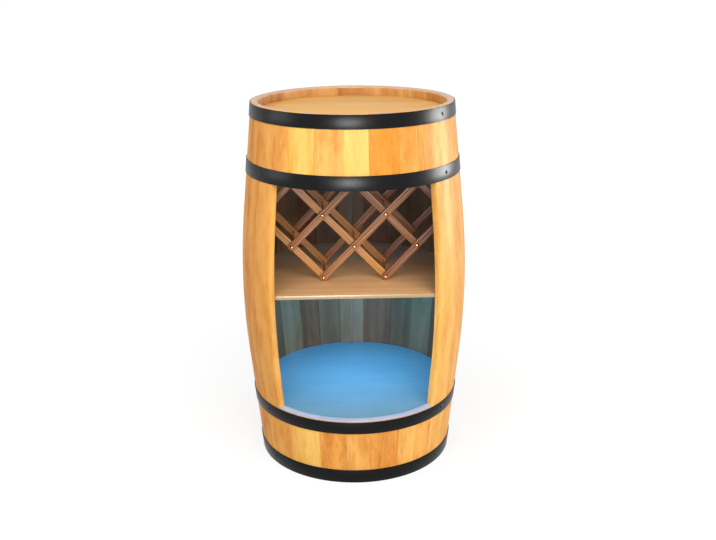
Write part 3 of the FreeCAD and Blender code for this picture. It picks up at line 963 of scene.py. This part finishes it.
@dataclass
class Staves:
    """The stave shell: long staves round the sides and back, and short ones above and below the opening."""

    shape: BarrelShape
    palette: Palette
    opening: tuple[float, float] = (0.1555, 0.655)
    opening_angle: float = 92.0
    opening_turn: float = -1.0  # how far the opening's middle is turned from the front
    row_height: float = 0.016
    seam_round: float = 0.0009
    chime_bevel: float = 0.004
    sill_lip: float = 0.003  # how far the sill's finish reaches down to the hoop
    groove_middles: tuple[float, float] = (0.0275, 0.7725)
    groove_half: float = 0.0029
    groove_depth: float = GROOVE_DEPTH
    groove_reach: float = 0.002  # how near to a groove the inner face has no other points
    end_reach: float = 0.002  # how far off an end's height its faces may lie
    end_lean: float = 0.7  # an end's normal points up or down by more than this
    inside_lean: float = -0.2  # an inner face's normal points outwards by less than this
    front_shares: tuple[float, ...] = (10.5, 15, 15, 13, 16, 11, 11.5)
    wall_shares: tuple[float, ...] = (
        15.5, 16, 14.5, 17, 15, 16.5, 15.5, 17.5, 15, 14, 13.5, 15, 12.5, 14.5, 15.5, 13, 14.5, 13,
    )
    upper_tones: tuple[Pine, ...] = (
        Pine.HONEY, Pine.STRAW, Pine.HONEY, Pine.STRAW, Pine.AMBER, Pine.TAN, Pine.TAN,
    )
    lower_tones: tuple[Pine, ...] = (
        Pine.HONEY, Pine.STRAW, Pine.KNOTTY, Pine.HONEY, Pine.RUSSET, Pine.CREAM, Pine.HONEY,
    )
    wall_tones: tuple[Pine, ...] = (
        Pine.CREAM, Pine.HONEY, Pine.TAN, Pine.CREAM, Pine.HONEY, Pine.STRAW, Pine.TAN, Pine.HONEY, Pine.RUSSET,
        Pine.CREAM, Pine.TAN, Pine.HONEY, Pine.AMBER, Pine.CREAM, Pine.TAN, Pine.HONEY, Pine.TAN, Pine.HONEY,
    )
    # the inner faces' bare pine tones, darkened as painted shade of the compartments
    raw_and_shaded_tones: tuple[Pine, ...] = (Pine.RAW, Pine.RAW_DARK, Pine.RAW_RED)
    chime_tones: tuple[Pine, ...] = (Pine.CHIME, Pine.CHIME_DEEP, Pine.CHIME, Pine.CHIME)
    inlet_height: float = INLET_HEIGHT
    inlet_radii: tuple[float, float] = (0.0057, 0.0082)
    inlet_seat: float = 0.002
    flange_radius: float = INLET_FLANGE_RADIUS

    def section(self, low: float, high: float) -> list[tuple[float, float]]:
        """Draws a stave's section, with its grooves and end bevels.

        Args:
            low: The height of its lower end.
            high: The height of its upper end.

        Returns:
            Radius and height of the points round it.
        """
        rows = math.ceil((high - low) / self.row_height)
        heights = [low + (high - low) * index / rows for index in range(rows + 1)]
        if high == self.opening[0]:
            heights.insert(-1, high - self.sill_lip)
        outer = [(self.shape.outer(z), z) for z in heights]
        inner = [(self.shape.inner(z), z) for z in heights]
        for middle in self.groove_middles:
            if low < middle < high:
                floor = self.shape.inner(middle) + self.groove_depth
                edges = (middle - self.groove_half, middle + self.groove_half)
                gap = (edges[0] - self.groove_reach, edges[1] + self.groove_reach)
                inner = [point for point in inner if not gap[0] < point[1] < gap[1]]
                mouth = [(self.shape.inner(z), z) for z in edges]
                notch = [mouth[0], (floor, edges[0]), (floor, edges[1]), mouth[1]]
                at = sum(1 for point in inner if point[1] < middle)
                inner[at:at] = notch
        if low == 0:
            inner[0:1] = [(inner[0][0] + self.chime_bevel, 0), (self.shape.inner(0), self.chime_bevel)]
        if high == self.shape.height:
            end = self.shape.height - self.chime_bevel
            inner[-1:] = [(self.shape.inner(high), end), (inner[-1][0] + self.chime_bevel, high)]
        return outer + inner[::-1]

    def build(self) -> None:
        """Makes every stave and hands it over."""
        low, high = self.opening
        left = self.opening_turn - self.opening_angle / 2
        right = self.opening_turn + self.opening_angle / 2
        rows = (
            ("stave_{:02d}", 0, self.shape.height, self.wall_shares, self.wall_tones, right,
             FULL_TURN - self.opening_angle),
            ("front_stave_upper_{}", high, self.shape.height, self.front_shares, self.upper_tones, left,
             self.opening_angle),
            ("front_stave_lower_{}", 0, low, self.front_shares, self.lower_tones, left, self.opening_angle),
        )
        for pattern, bottom, top, shares, tones, start, sweep in rows:
            points = self.section(bottom, top)
            for number, (share, tone) in enumerate(zip(shares, tones), start=1):
                width = sweep * share / sum(shares)
                node = pattern.format(number)
                piece = self.shape.lathe("lacquered_" + node, points, start, width)
                if start < BACK < start + width:
                    self.cut_inlet_hole(piece)
                round_edges(piece, self.seam_round)
                # the inner faces get a bare pine tone that carries painted shade
                raw = self.raw_and_shaded_tones[number % len(self.raw_and_shaded_tones)]
                chime = self.chime_tones[number % len(self.chime_tones)]
                self.palette.dress(piece, tone, raw, chime, Pine.END, Pine.SILL)
                for face in piece.data.polygons:
                    face.material_index = self.slot_of(face)
                hand_over(piece, node)
                start += width

    def slot_of(self, face: MeshPolygon) -> StaveSlot:
        """Chooses a face's finish.

        Args:
            face: A face of a stave.

        Returns:
            Its material slot.
        """
        centre = face.center - self.shape.centre
        outwards = (centre.x * face.normal.x + centre.y * face.normal.y) / math.hypot(centre.x, centre.y)
        if abs(face.normal.z) > self.end_lean:
            return StaveSlot.SILL if abs(centre.z - self.opening[0]) < self.end_reach else StaveSlot.END
        if outwards < self.inside_lean:
            between_heads = self.groove_middles[0] < centre.z < self.groove_middles[1]
            return StaveSlot.INSIDE if between_heads else StaveSlot.CHIME
        return StaveSlot.SILL if 0 < self.opening[0] - centre.z < self.sill_lip else StaveSlot.SIDE

    def cut_inlet_hole(self, stave: Object) -> None:
        """Drills the power inlet's hole, with a sunk seat for its flange.

        Args:
            stave: The rear stave.
        """
        quarter = (math.pi / 2, 0, 0)
        reach = self.shape.belly_radius
        hole, seat = self.inlet_radii
        middle = self.shape.spot(BACK, reach, self.inlet_height)
        cut_away(stave, drum("hole", hole, reach, middle, quarter))
        seat_face = self.shape.outer(self.inlet_height - self.flange_radius) - self.inlet_seat
        middle = self.shape.spot(BACK, seat_face + reach / 2, self.inlet_height)
        cut_away(stave, drum("seat", seat, reach, middle, quarter))


@dataclass
class Hoops:
    """The four steel hoops, each closed by a riveted lap at the back, and the screws that hold them."""

    shape: BarrelShape
    palette: Palette
    thickness: float = 0.0015
    clearance: float = 0.0003
    edge_round: float = 0.0004
    lap_half_angle: float = 6.0
    rivet_share: float = 0.45  # how far off the lap's middle a rivet is, as a share of its half angle
    bands: dict[str, tuple[float, float]] = field(default_factory=lambda: {
        "hoop_top": (0.771, 0.799),
        "hoop_upper": (0.652, 0.6815),
        "hoop_lower": (0.1245, 0.1525),
        "hoop_bottom": (0.001, 0.0325),
    })
    screw_angles: tuple[float, ...] = (54.0, 115.0, 245.0, 303.0)
    head_radius: float = 0.004
    head_height: float = 0.0018
    shank_radius: float = 0.00175
    shank_length: float = 0.012
    shank_shares: tuple[tuple[float, float], ...] = ((0, 1), (0.5, 0.86), (1, 0.7), (1, 0))  # from its point up
    recess_width: float = 0.0008
    recess_reach: float = 0.0021
    recess_depth: float = 0.0011
    rivet_radius: float = 0.0035
    rivet_height: float = 0.0013
    rivet_steps: int = 5

    def band(self, name: str, low: float, high: float, layer: int, start: float, sweep: float) -> Object:
        """Makes a band of steel round the staves.

        Args:
            name: Its name.
            low: The height of its lower edge.
            high: The height of its upper edge.
            layer: How many layers of steel lie under it.
            start: The angle at which it starts.
            sweep: Degrees that it covers.

        Returns:
            The band.
        """
        lift = self.clearance + layer * self.thickness
        points = [
            (self.shape.outer(low) + lift, low),
            (self.shape.outer(low) + lift + self.thickness, low),
            (self.shape.outer(high) + lift + self.thickness, high),
            (self.shape.outer(high) + lift, high),
        ]
        piece = self.shape.lathe(name, points, start, sweep)
        round_edges(piece, self.edge_round)
        return piece

    def seat(self, low: float, high: float, angle: float, layer: int = 1) -> Matrix:
        """Finds the seat of a fastener on a hoop.

        Args:
            low: The height of the hoop's lower edge.
            high: The height of its upper edge.
            angle: The fastener's angle round the barrel.
            layer: How many layers of steel it lies on.

        Returns:
            Its place and turn, with +Z pointing out of the hoop.
        """
        lean = math.atan2(self.shape.outer(low) - self.shape.outer(high), high - low)
        lift = self.clearance + layer * self.thickness / math.cos(lean)
        mean = (self.shape.outer(low) + self.shape.outer(high)) / 2 + lift
        out = self.shape.spot(angle, math.cos(lean), math.sin(lean)) - self.shape.centre
        turn = out.to_track_quat("Z", "Y").to_matrix().to_4x4()
        return Matrix.Translation(self.shape.spot(angle, mean, (low + high) / 2)) @ turn

    def screw(self) -> Object:
        """Makes a round-head wood screw with a cross recess.

        Returns:
            The screw, pointing down from the origin.
        """
        shank = [(self.shank_radius * across, -self.shank_length * down) for across, down in self.shank_shares]
        piece = turned("screw", shank + arc(self.head_radius, self.head_height))
        for turn in (0, math.pi / 2):
            size = Vector((2 * self.recess_reach, self.recess_width, 2 * self.recess_depth))
            slot = block("slot", size, Vector((0, 0, self.head_height)))
            slot.rotation_euler.z = turn
            bpy.context.view_layer.update()
            cut_away(piece, slot)
        smooth(piece)
        return piece

    def rivet(self) -> Object:
        """Makes a low domed rivet head, closed underneath.

        Returns:
            The rivet head, standing on the origin.
        """
        piece = turned("rivet", [(0, 0), *arc(self.rivet_radius, self.rivet_height, self.rivet_steps)])
        smooth(piece)
        return piece

    def build(self) -> None:
        """Makes the hoops and their screws and hands them over."""
        screw, rivet = self.screw(), self.rivet()
        screws = []
        for name, (low, high) in self.bands.items():
            start = BACK - self.lap_half_angle
            parts = [
                self.band(name + "_ring", low, high, 0, 0, FULL_TURN),
                self.band(name + "_lap", low, high, 1, start, 2 * self.lap_half_angle),
            ]
            for side in (-self.rivet_share, self.rivet_share):
                place = self.seat(low, high, BACK + side * self.lap_half_angle, layer=2)
                parts.append(duplicate(rivet, name + "_rivet", place))
            piece = join(parts, "steel_" + name)
            self.palette.dress(piece, Metal.HOOP)
            hand_over(piece, name)
            for angle in self.screw_angles:
                screws.append(duplicate(screw, f"{name}_screw", self.seat(low, high, angle)))
        for pattern in (screw, rivet):
            bpy.data.objects.remove(pattern)
        piece = join(screws, "cross_recess_screws")
        self.palette.dress(piece, Metal.SCREW)
        hand_over(piece, "hoop_screws")


@dataclass
class Boards:
    """The two heads, the shelf and the floor board."""

    shape: BarrelShape
    palette: Palette
    head_bottoms: dict[str, float] = field(default_factory=lambda: {"bottom_head": 0.021, "top_head": 0.766})
    head_thickness: float = 0.013
    tongue: float = 0.005
    head_clearance: float = 0.0004
    groove_depth: float = GROOVE_DEPTH
    board_tops: dict[str, float] = field(default_factory=lambda: {"floor_board": 0.1525, "mid_shelf": 0.413})
    thickness: float = 0.008
    clearance: float = 0.0005
    shelf_setback: float = 0.003
    opening_side: float = 45.0  # the nearer side of the opening
    notch_width: float = 0.010
    notch_depth: float = 0.003
    head_round: float = 0.0008
    board_round: float = 0.0007
    front_lean: float = -0.5  # the normal of the shelf's front edge has a Y below this

    def head(self, name: str, bottom: float) -> Object:
        """Makes a round head with a tongue on its rim.

        Args:
            name: Its name.
            bottom: The height of its lower face.

        Returns:
            The head.
        """
        top = bottom + self.head_thickness
        middle = (bottom + top) / 2
        rim = min(self.shape.inner(bottom), self.shape.inner(top)) - self.head_clearance
        tongue = self.shape.inner(middle) + self.groove_depth - self.head_clearance
        low, high = middle - self.tongue / 2, middle + self.tongue / 2
        points = [(0, bottom), (rim, bottom), (rim, low), (tongue, low), (tongue, high), (rim, high), (rim, top),
                  (0, top)]
        piece = self.shape.lathe(name, points, 0, FULL_TURN, filled=False)
        round_edges(piece, self.head_round)
        return piece

    def board(self, name: str, top: float) -> Object:
        """Makes a round board with a notch at the back for the light's lead.

        Args:
            name: Its name.
            top: The height of its upper face.

        Returns:
            The board.
        """
        bottom = top - self.thickness
        radius = min(self.shape.inner(bottom), self.shape.inner(top)) - self.clearance
        middle = self.shape.centre + Vector((0, 0, (bottom + top) / 2))
        piece = drum(name, radius, self.thickness, middle, sides=round(FULL_TURN / SPIN_STEP))
        notch = Vector((self.notch_width, 2 * self.notch_depth, 2 * self.thickness))
        cut_away(piece, block("notch", notch, middle + Vector((0, radius, 0))))
        return piece

    def build(self) -> None:
        """Makes the boards and hands them over."""
        for name, bottom in self.head_bottoms.items():
            piece = self.head("satin_" + name, bottom)
            self.palette.dress(piece, Board.HEAD)
            hand_over(piece, name)
        for name, top in self.board_tops.items():
            piece = self.board("satin_" + name, top)
            is_shelf = name == "mid_shelf"
            if is_shelf:
                self.cut_front(piece, top)
            round_edges(piece, self.board_round)
            self.palette.dress(piece, Board.SHELF if is_shelf else Board.FLOOR, Board.EDGE)
            front = self.front_line(top)
            for face in piece.data.polygons:
                on_front = face.normal.y < self.front_lean and abs(face.center.y - front) < MM
                face.material_index = int(is_shelf and on_front)
            hand_over(piece, name)

    def front_line(self, top: float) -> float:
        """Where the shelf's straight front edge is along Y."""
        reach = self.shape.inner(top) * math.cos(math.radians(self.opening_side)) - self.shelf_setback
        return self.shape.axis_y - reach

    def cut_front(self, piece: Object, top: float) -> None:
        """Saws a board off straight at the opening.

        Args:
            piece: The board.
            top: The height of its upper face.
        """
        plane = (0, self.front_line(top), 0)
        with editing(piece, start="SELECT"):
            bpy.ops.mesh.bisect(plane_co=plane, plane_no=(0, -1, 0), use_fill=True, clear_outer=True)


# ---------------------------------------------------------------- the bottle rack


@dataclass
class BottleRack:
    """The folding lattice: slats in a front and a rear frame, and brass rods through every crossing."""

    axis_y: float
    palette: Palette
    pitch: float = 0.09748
    tilt_deg: float = 46.0
    foot: float = 0.42166
    depth: float = 0.138
    slat_width: float = 0.015
    slat_thickness: float = 0.009
    slat_end: float = 0.007
    corner: float = 0.003
    layer_gap: float = 0.0003
    rod_radius: float = 0.0025
    rod_fit: float = 0.00005
    head_radius: float = 0.0045
    head_height: float = 0.003
    head_gap: float = 0.00015
    edge_round: float = 0.0009
    top_row: int = 4
    rising: dict[str, int] = field(default_factory=lambda: {
        "rising_1": -5, "rising_2": -3, "rising_3": -1, "rising_4": 1,
    })
    falling: dict[str, int] = field(default_factory=lambda: {
        "falling_1": -1, "falling_2": 1, "falling_3": 3, "falling_4": 5,
    })
    main_slat: str = "rising_3"
    # the lower falling slats' gold is painted light, and the upper falling slats' brown is painted shadow of the hoop
    tones: dict[str, Walnut] = field(default_factory=lambda: {
        "rising_1": Walnut.RISING_BROWN, "rising_2": Walnut.RISING_BROWN, "rising_3": Walnut.RISING_BROWN,
        "rising_4": Walnut.RISING_RED, "falling_1": Walnut.FALLING_GOLD, "falling_2": Walnut.FALLING_GOLD,
        "falling_3": Walnut.FALLING_BROWN, "falling_4": Walnut.FALLING_BROWN,
    })

    def body(self, slat: str) -> str:
        """The CAD body that a slat belongs to."""
        return "rack_main" if slat == self.main_slat else "rack_" + slat

    def pin(self, column: int, row: int) -> Vector:
        """Works out the place of a pin.

        Args:
            column: Half cells from the middle.
            row: Half cells up.

        Returns:
            The pin's middle.
        """
        tilt = math.radians(self.tilt_deg)
        across, up = self.pitch * math.cos(tilt), self.pitch * math.sin(tilt)
        return Vector((column * across, self.axis_y, self.foot + row * up))

    def crossings(self) -> list[tuple[str, str, Vector]]:
        """Finds where the slats cross.

        Returns:
            Each crossing's rising slat, falling slat and pin.
        """
        found = []
        for rising, difference in self.rising.items():
            for falling, total in self.falling.items():
                row = (total - difference) // 2
                if 0 <= row <= self.top_row:
                    found.append((rising, falling, self.pin((total + difference) // 2, row)))
        return found

    def slat(self, count: int) -> Object:
        """Makes a slat along X, from its first pin at the origin.

        Args:
            count: How many pins it is bored for.

        Returns:
            The slat.
        """
        length = (count - 1) * self.pitch + 2 * self.slat_end
        size = Vector((length, self.slat_thickness, self.slat_width))
        piece = block(f"slat_{count}", size, Vector((length / 2 - self.slat_end, 0, 0)))
        with editing(piece, "EDGE") as mesh:
            half = self.slat_thickness / 2
            pick(piece, mesh.edges, lambda edge: abs(edge.verts[0].co.y - edge.verts[1].co.y) > half)
            bpy.ops.mesh.bevel(offset=self.corner, segments=1, affect="EDGES")
        bore, along_y = self.rod_radius + self.rod_fit, (math.pi / 2, 0, 0)
        for index in range(count):
            centre = Vector((index * self.pitch, 0, 0))
            cut_away(piece, drum("hole", bore, 2 * self.slat_thickness, centre, along_y, SMALL_STEPS))
        round_edges(piece, self.edge_round)
        return piece

    def rod(self) -> Object:
        """Makes a rod through the rack with a domed head on each end.

        Returns:
            The rod, along Y.
        """
        half = self.depth / 2 + self.head_gap
        dome = [(radius, half + height) for radius, height in arc(self.head_radius, self.head_height)]
        profile = [(radius, -height) for radius, height in dome[::-1]]
        profile += [(self.rod_radius, -half), (self.rod_radius, half), *dome]
        piece = turned("rod", profile)
        activate(piece)
        bpy.ops.transform.rotate(value=math.pi / 2, orient_axis="X", center_override=(0, 0, 0))
        smooth(piece)
        return settle(piece, "rod")

    def build(self) -> None:
        """Makes the slats and rods and hands them over."""
        pins: dict[str, list[Vector]] = {name: [] for name in (*self.rising, *self.falling)}
        rods: dict[str, list[Vector]] = {name: [] for name in (self.main_slat, *self.falling)}
        for rising, falling, pin in self.crossings():
            pins[rising].append(pin)
            pins[falling].append(pin)
            rods[self.main_slat if rising == self.main_slat else falling].append(pin)
        patterns = {count: self.slat(count) for count in {len(found) for found in pins.values()}}
        for name, found in pins.items():
            first, last = (pick_pin(found, key=lambda pin: pin.z) for pick_pin in (min, max))
            tilt = Matrix.Rotation(-math.atan2(last.z - first.z, last.x - first.x), 4, "Y")
            inset = 0.0 if name in self.rising else self.slat_thickness + self.layer_gap
            reach = self.depth / 2 - inset - self.slat_thickness / 2
            places = [Matrix.Translation(first + Vector((0, way * reach, 0))) @ tilt for way in (-1, 1)]
            pair = [duplicate(patterns[len(found)], f"slat_{name}", place) for place in places]
            piece = join(pair, f"walnut_slats_{name}")
            self.palette.dress(piece, self.tones[name])
            hand_over(piece, f"rack_slats_{name}", self.body(name))
        rod = self.rod()
        for name, found in rods.items():
            copies = [duplicate(rod, f"rod_{name}", Matrix.Translation(pin)) for pin in found]
            piece = join(copies, f"brass_rods_{name}")
            self.palette.dress(piece, Metal.BRASS)
            hand_over(piece, f"rack_rods_{name}", self.body(name))
        for pattern in (rod, *patterns.values()):
            bpy.data.objects.remove(pattern)


# ---------------------------------------------------------------- the lighting


@dataclass
class Lighting:
    """The hidden strip lights: chips on their tapes, the control box and the power inlet."""

    shape: BarrelShape
    palette: Palette
    ceilings: tuple[float, float] = (0.766, 0.405)
    tape_thickness: float = 0.0015
    tape_width: float = 0.010
    cleat_depth: float = 0.015
    cleat_gap: float = 0.002
    first_angle: float = 53.0
    chip_count: int = 28
    chip_size: float = 0.005
    chip_height: float = 0.0012
    lens_inset: float = 0.0008
    lens_sink: float = 0.00025
    lid_margin: float = 0.0012
    lid_step: float = 0.0008
    lid_round: float = 0.0005
    inlet_height: float = INLET_HEIGHT
    flange_radius: float = INLET_FLANGE_RADIUS
    flange_thickness: float = 0.0015
    body_radius: float = 0.0055
    nut_thickness: float = 0.0025
    nut_sides: int = 6
    socket_radius: float = 0.0028
    socket_depth: float = 0.009
    contact_radius: float = 0.001
    contact_steps: int = 16
    contact_tip: tuple[float, float] = (0.0015, 0.0012)  # how deep its shoulder and its end lie in the socket
    inlet_round: float = 0.0003
    nut_gap: float = 0.0002
    thread_gap: float = 0.00005

    def chip(self) -> Object:
        """Makes a light chip: a white body with its lens sunk into it.

        Returns:
            The chip, hanging down from the origin.
        """
        size = Vector((self.chip_size, self.chip_size, self.chip_height))
        piece = block("chip", size, Vector((0, 0, -self.chip_height / 2)))
        with editing(piece, "FACE") as mesh:
            pick(piece, mesh.faces, lambda face: face.normal.z < -FACING)
            bpy.ops.mesh.inset(thickness=self.lens_inset)
            bpy.ops.mesh.extrude_region_move(TRANSFORM_OT_translate={"value": (0, 0, self.lens_sink)})
        return piece

    def chips(self) -> Object:
        """Makes the chips round both tapes.

        Returns:
            All of them as one object.
        """
        pattern = self.chip()
        sweep = FULL_TURN - 2 * self.first_angle
        copies = []
        for ceiling in self.ceilings:
            under = ceiling - self.tape_thickness
            middle = self.shape.inner(under) - self.cleat_depth - self.cleat_gap - self.tape_width / 2
            for index in range(self.chip_count):
                angle = self.first_angle + sweep * (index + 0.5) / self.chip_count
                turn = Matrix.Rotation(math.radians(angle), 4, "Z")
                place = Matrix.Translation(self.shape.spot(angle, middle, under)) @ turn
                copies.append(duplicate(pattern, "chip_copy", place))
        bpy.data.objects.remove(pattern)
        return join(copies, "lit_chips")

    def controller(self) -> Object:
        """Makes the control box with a stepped lid and rounded corners.

        Returns:
            The control box, in its CAD box.
        """
        low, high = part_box("light_controller")
        piece = block("moulded_light_controller", high - low, (low + high) / 2)
        with editing(piece, "FACE") as mesh:
            pick(piece, mesh.faces, lambda face: face.normal.z < -FACING)
            for margin, rise in ((self.lid_margin, self.lid_step), (self.lid_step, -self.lid_step)):
                bpy.ops.mesh.inset(thickness=margin)
                bpy.ops.mesh.extrude_region_move(TRANSFORM_OT_translate={"value": (0, 0, rise)})
        round_edges(piece, self.lid_round)
        return piece

    def inlet(self) -> Object:
        """Makes the power inlet: a flanged body with its socket and contact, and a nut inside the wall.

        Returns:
            The inlet, in its place in the rear stave.
        """
        low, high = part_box("power_inlet")
        face = high.y
        wall_face = self.shape.axis_y + self.shape.inner(self.inlet_height - self.flange_radius) - self.nut_gap
        flange_back = face - self.flange_thickness
        profile = [
            (0, low.y), (self.body_radius, low.y), (self.body_radius, flange_back),
            (self.flange_radius, flange_back), (self.flange_radius, face), (self.socket_radius, face),
            (self.socket_radius, face - self.socket_depth), (0, face - self.socket_depth),
        ]
        body = turned("inlet_body", profile, ROUND_STEPS)
        round_edges(body, self.inlet_round)
        foot, (shoulder, end) = face - self.socket_depth, self.contact_tip
        pin = [(0, foot), (self.contact_radius, foot), (self.contact_radius, face - shoulder), (0, face - end)]
        contact = turned("inlet_contact", pin, self.contact_steps)
        middle = Vector((0, 0, wall_face - self.nut_thickness / 2))
        nut = drum("inlet_nut", self.flange_radius, self.nut_thickness, middle, sides=self.nut_sides)
        bore = self.body_radius + self.thread_gap
        cut_away(nut, drum("bore", bore, 4 * self.nut_thickness, Vector((0, 0, wall_face))))
        round_edges(nut, self.inlet_round)
        for part in (body, nut, contact):
            self.palette.dress(part, Plastic.BLACK, Metal.CONTACT)
        for polygon in contact.data.polygons:
            polygon.material_index = 1
        piece = join([body, contact, nut], "moulded_power_inlet")
        piece.matrix_world = Matrix.Translation((0, 0, self.inlet_height)) @ Matrix.Rotation(-math.pi / 2, 4, "X")
        bpy.context.view_layer.update()
        return settle(piece, piece.name)

    def build(self) -> None:
        """Makes the lighting's pieces and hands them over."""
        chips = self.chips()
        self.palette.dress(chips, Plastic.CHIP)
        hand_over(chips, "light_chips")
        controller = self.controller()
        self.palette.dress(controller, Plastic.BLACK)
        hand_over(controller, "light_controller")
        hand_over(self.inlet(), "power_inlet")


# ---------------------------------------------------------------- the studio


@dataclass(frozen=True)
class Lamp:
    """A soft square lamp that looks at a point."""

    name: str
    place: tuple[float, float, float]
    target: tuple[float, float, float]
    size: float
    watts: float
    colour: str = "#ffffff"
    shines: bool = True  # whether it shows as a highlight
    fills: bool = True  # whether it lights what isn't glossy

    def build(self) -> None:
        """Makes the lamp."""
        data = bpy.data.lights.new(self.name, "AREA")
        data.size = self.size
        data.energy = self.watts
        data.color = linear(self.colour)[:3]
        lamp = bpy.data.objects.new(self.name, data)
        lamp.location = self.place
        lamp.visible_glossy = self.shines
        lamp.visible_diffuse = self.fills
        lamp.rotation_mode = "QUATERNION"
        lamp.rotation_quaternion = (Vector(self.target) - Vector(self.place)).to_track_quat("-Z", "Y")
        bpy.context.scene.collection.objects.link(lamp)


@dataclass
class Studio:
    """The camera, a pale floor, soft lamps and a white surround."""

    axis_y: float
    distance: float = 2.0366
    swing_deg: float = 1.604  # how far to the left of the front it stands
    eye_height: float = 1.0847
    pitch: float = 0.3175  # how far it looks down, in radians, as the roll is
    roll: float = -0.0092
    lens_mm: float = 47.84
    shift_x: float = 0.0058
    ambient: float = 0.28
    floor_size: float = 80.0
    floor_drop: float = 0.0002
    floor_colour: tuple[float, ...] = (0.6, 0.6, 0.6, 1.0)
    glow_colour: tuple[float, ...] = (1.0, 1.0, 1.0, 1.0)
    floor_glow: dict[str, float] = field(default_factory=lambda: {
        "From Min": 0.3, "From Max": 1.6, "To Min": 1.32, "To Max": 1.6,  # brighter further out
    })
    floor_share: float = 0.6  # how much of what the camera sees of the floor is glow, and no shadow
    lamps: tuple[Lamp, ...] = (
        Lamp("key", (1.0, -2.35, 2.0), (0, 0, 0.4), 2.0, 52, shines=False),
        Lamp("fill", (-0.95, -2.4, 2.1), (0, 0, 0.55), 2.0, 37, shines=False),
        Lamp("low_front", (0.8, -3.3, 0.9), (0, 0, 0.5), 0.8, 14, shines=False),
        Lamp("right_side", (2.3, -0.1, 0.15), (0, 0, 0.3), 0.7, 18, shines=False),
        Lamp("left_side", (-1.8, -0.6, 2.0), (0, 0, 0.8), 0.9, 10, shines=False),
        Lamp("top", (0.2, 0.3, 2.6), (0, 0, 0.6), 1.4, 4, shines=False),
        Lamp("front_card", (-0.32, -3.5, 0.74), (0, 0, 0.74), 1.2, 185, fills=False),
        Lamp("right_card", (2.35, 0.45, 0.74), (0, 0, 0.74), 1.1, 110, fills=False),
        Lamp("left_card", (-2.3, -0.3, 0.95), (0, 0, 0.8), 1.1, 17, fills=False),
        Lamp("upper_strip_glow", (0, 0.1, 0.758), (0, 0.1, 0.4), 0.12, 0.25, "#3aa0ff", shines=False),
        Lamp("lower_strip_glow", (0, 0.0, 0.398), (0, 0.0, 0.15), 0.32, 3.1, "#42aaff", shines=False),
    )

    def build(self) -> None:
        """Makes everything round the cabinet."""
        self.add_camera()
        self.add_floor()
        self.add_surround()
        for lamp in self.lamps:
            lamp.build()
        bpy.context.scene.view_settings.view_transform = "Standard"

    def add_camera(self) -> None:
        """Makes the camera."""
        data = bpy.data.cameras.new("eye")
        data.lens = self.lens_mm
        data.shift_x = self.shift_x
        camera = bpy.data.objects.new("eye", data)
        swing = math.radians(self.swing_deg)
        camera.matrix_world = (
            Matrix.Translation(
                (-self.distance * math.sin(swing), self.axis_y - self.distance * math.cos(swing), self.eye_height)
            )
            @ Matrix.Rotation(-swing, 4, "Z")
            @ Matrix.Rotation(math.pi / 2 - self.pitch, 4, "X")
            @ Matrix.Rotation(self.roll, 4, "Z")
        )
        bpy.context.scene.collection.objects.link(camera)
        bpy.context.scene.camera = camera

    def seen(self, tree: NodeTree) -> NodeSocket:
        """Tells what shows from what lights.

        Args:
            tree: The node tree.

        Returns:
            1 for a ray from the camera, a mirror or glass, and 0 for the others.
        """
        path = add_node(tree, "LightPath")
        seen = path.outputs["Is Camera Ray"]
        for name in ("Is Glossy Ray", "Is Transmission Ray"):
            seen = add_node(tree, "Math", {0: seen, 1: path.outputs[name]}, operation="MAXIMUM").outputs[0]
        return seen

    def add_floor(self) -> None:
        """Makes the pale floor, which keeps only a faint shadow."""
        level = (0, 0, -self.floor_drop)
        floor = add_primitive("pale_floor", bpy.ops.mesh.primitive_plane_add, size=self.floor_size, location=level)
        material = bpy.data.materials.new("white_sweep")
        material.use_nodes = True
        tree = material.node_tree
        tree.nodes.clear()
        plain = add_node(tree, "BsdfDiffuse", {"Color": self.floor_colour}).outputs[0]
        reach = add_node(tree, "VectorMath", {0: add_node(tree, "TexCoord").outputs["Object"]}, operation="LENGTH")
        strength = add_node(tree, "MapRange", {"Value": reach.outputs["Value"], **self.floor_glow}).outputs[0]
        glow = add_node(tree, "Emission", {"Color": self.glow_colour, "Strength": strength}).outputs[0]
        share = add_node(tree, "Math", {0: self.seen(tree), 1: self.floor_share}, operation="MULTIPLY").outputs[0]
        mixed = add_node(tree, "MixShader", {0: share, 1: plain, 2: glow}).outputs[0]
        add_node(tree, "OutputMaterial", {"Surface": mixed})
        floor.data.materials.append(material)

    def add_surround(self) -> None:
        """Makes the white surround that lights the cabinet gently."""
        world = bpy.data.worlds.new("white_surround")
        world.use_nodes = True
        tree = world.node_tree
        tree.nodes.clear()
        strength = add_node(tree, "MapRange", {"Value": self.seen(tree), "To Min": self.ambient}).outputs[0]
        light = add_node(tree, "Background", {"Color": self.glow_colour, "Strength": strength}).outputs[0]
        add_node(tree, "OutputWorld", {"Surface": light})
        bpy.context.scene.world = world


def dress_kept_nodes(nodes: dict[str, Object], palette: Palette) -> None:
    """Gives the CAD nodes that are shown as they are their finishes.

    Args:
        nodes: The CAD nodes by name.
        palette: The materials.
    """
    kept = {"light_strips": Plastic.TAPE, "light_lead": Plastic.BLACK, "board_cleats": Pine.CREAM}
    for name, choice in kept.items():
        palette.dress(nodes[name], choice)
        LOG.info("%s keeps its CAD mesh in %s", name, choice.value.name)


def main() -> None:
    """Builds the whole scene."""
    logging.basicConfig(level=logging.INFO, format="%(name)s: %(message)s")
    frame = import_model()
    low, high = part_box("hoop_top")
    axis_y = (low.y + high.y) / 2
    shape = BarrelShape(axis_y)
    palette = Palette(shape)
    Studio(axis_y).build()
    Staves(shape, palette).build()
    Hoops(shape, palette).build()
    Boards(shape, palette).build()
    BottleRack(axis_y, palette).build()
    Lighting(shape, palette).build()
    dress_kept_nodes(frame["nodes"], palette)


if __name__ == "__main__":
    main()
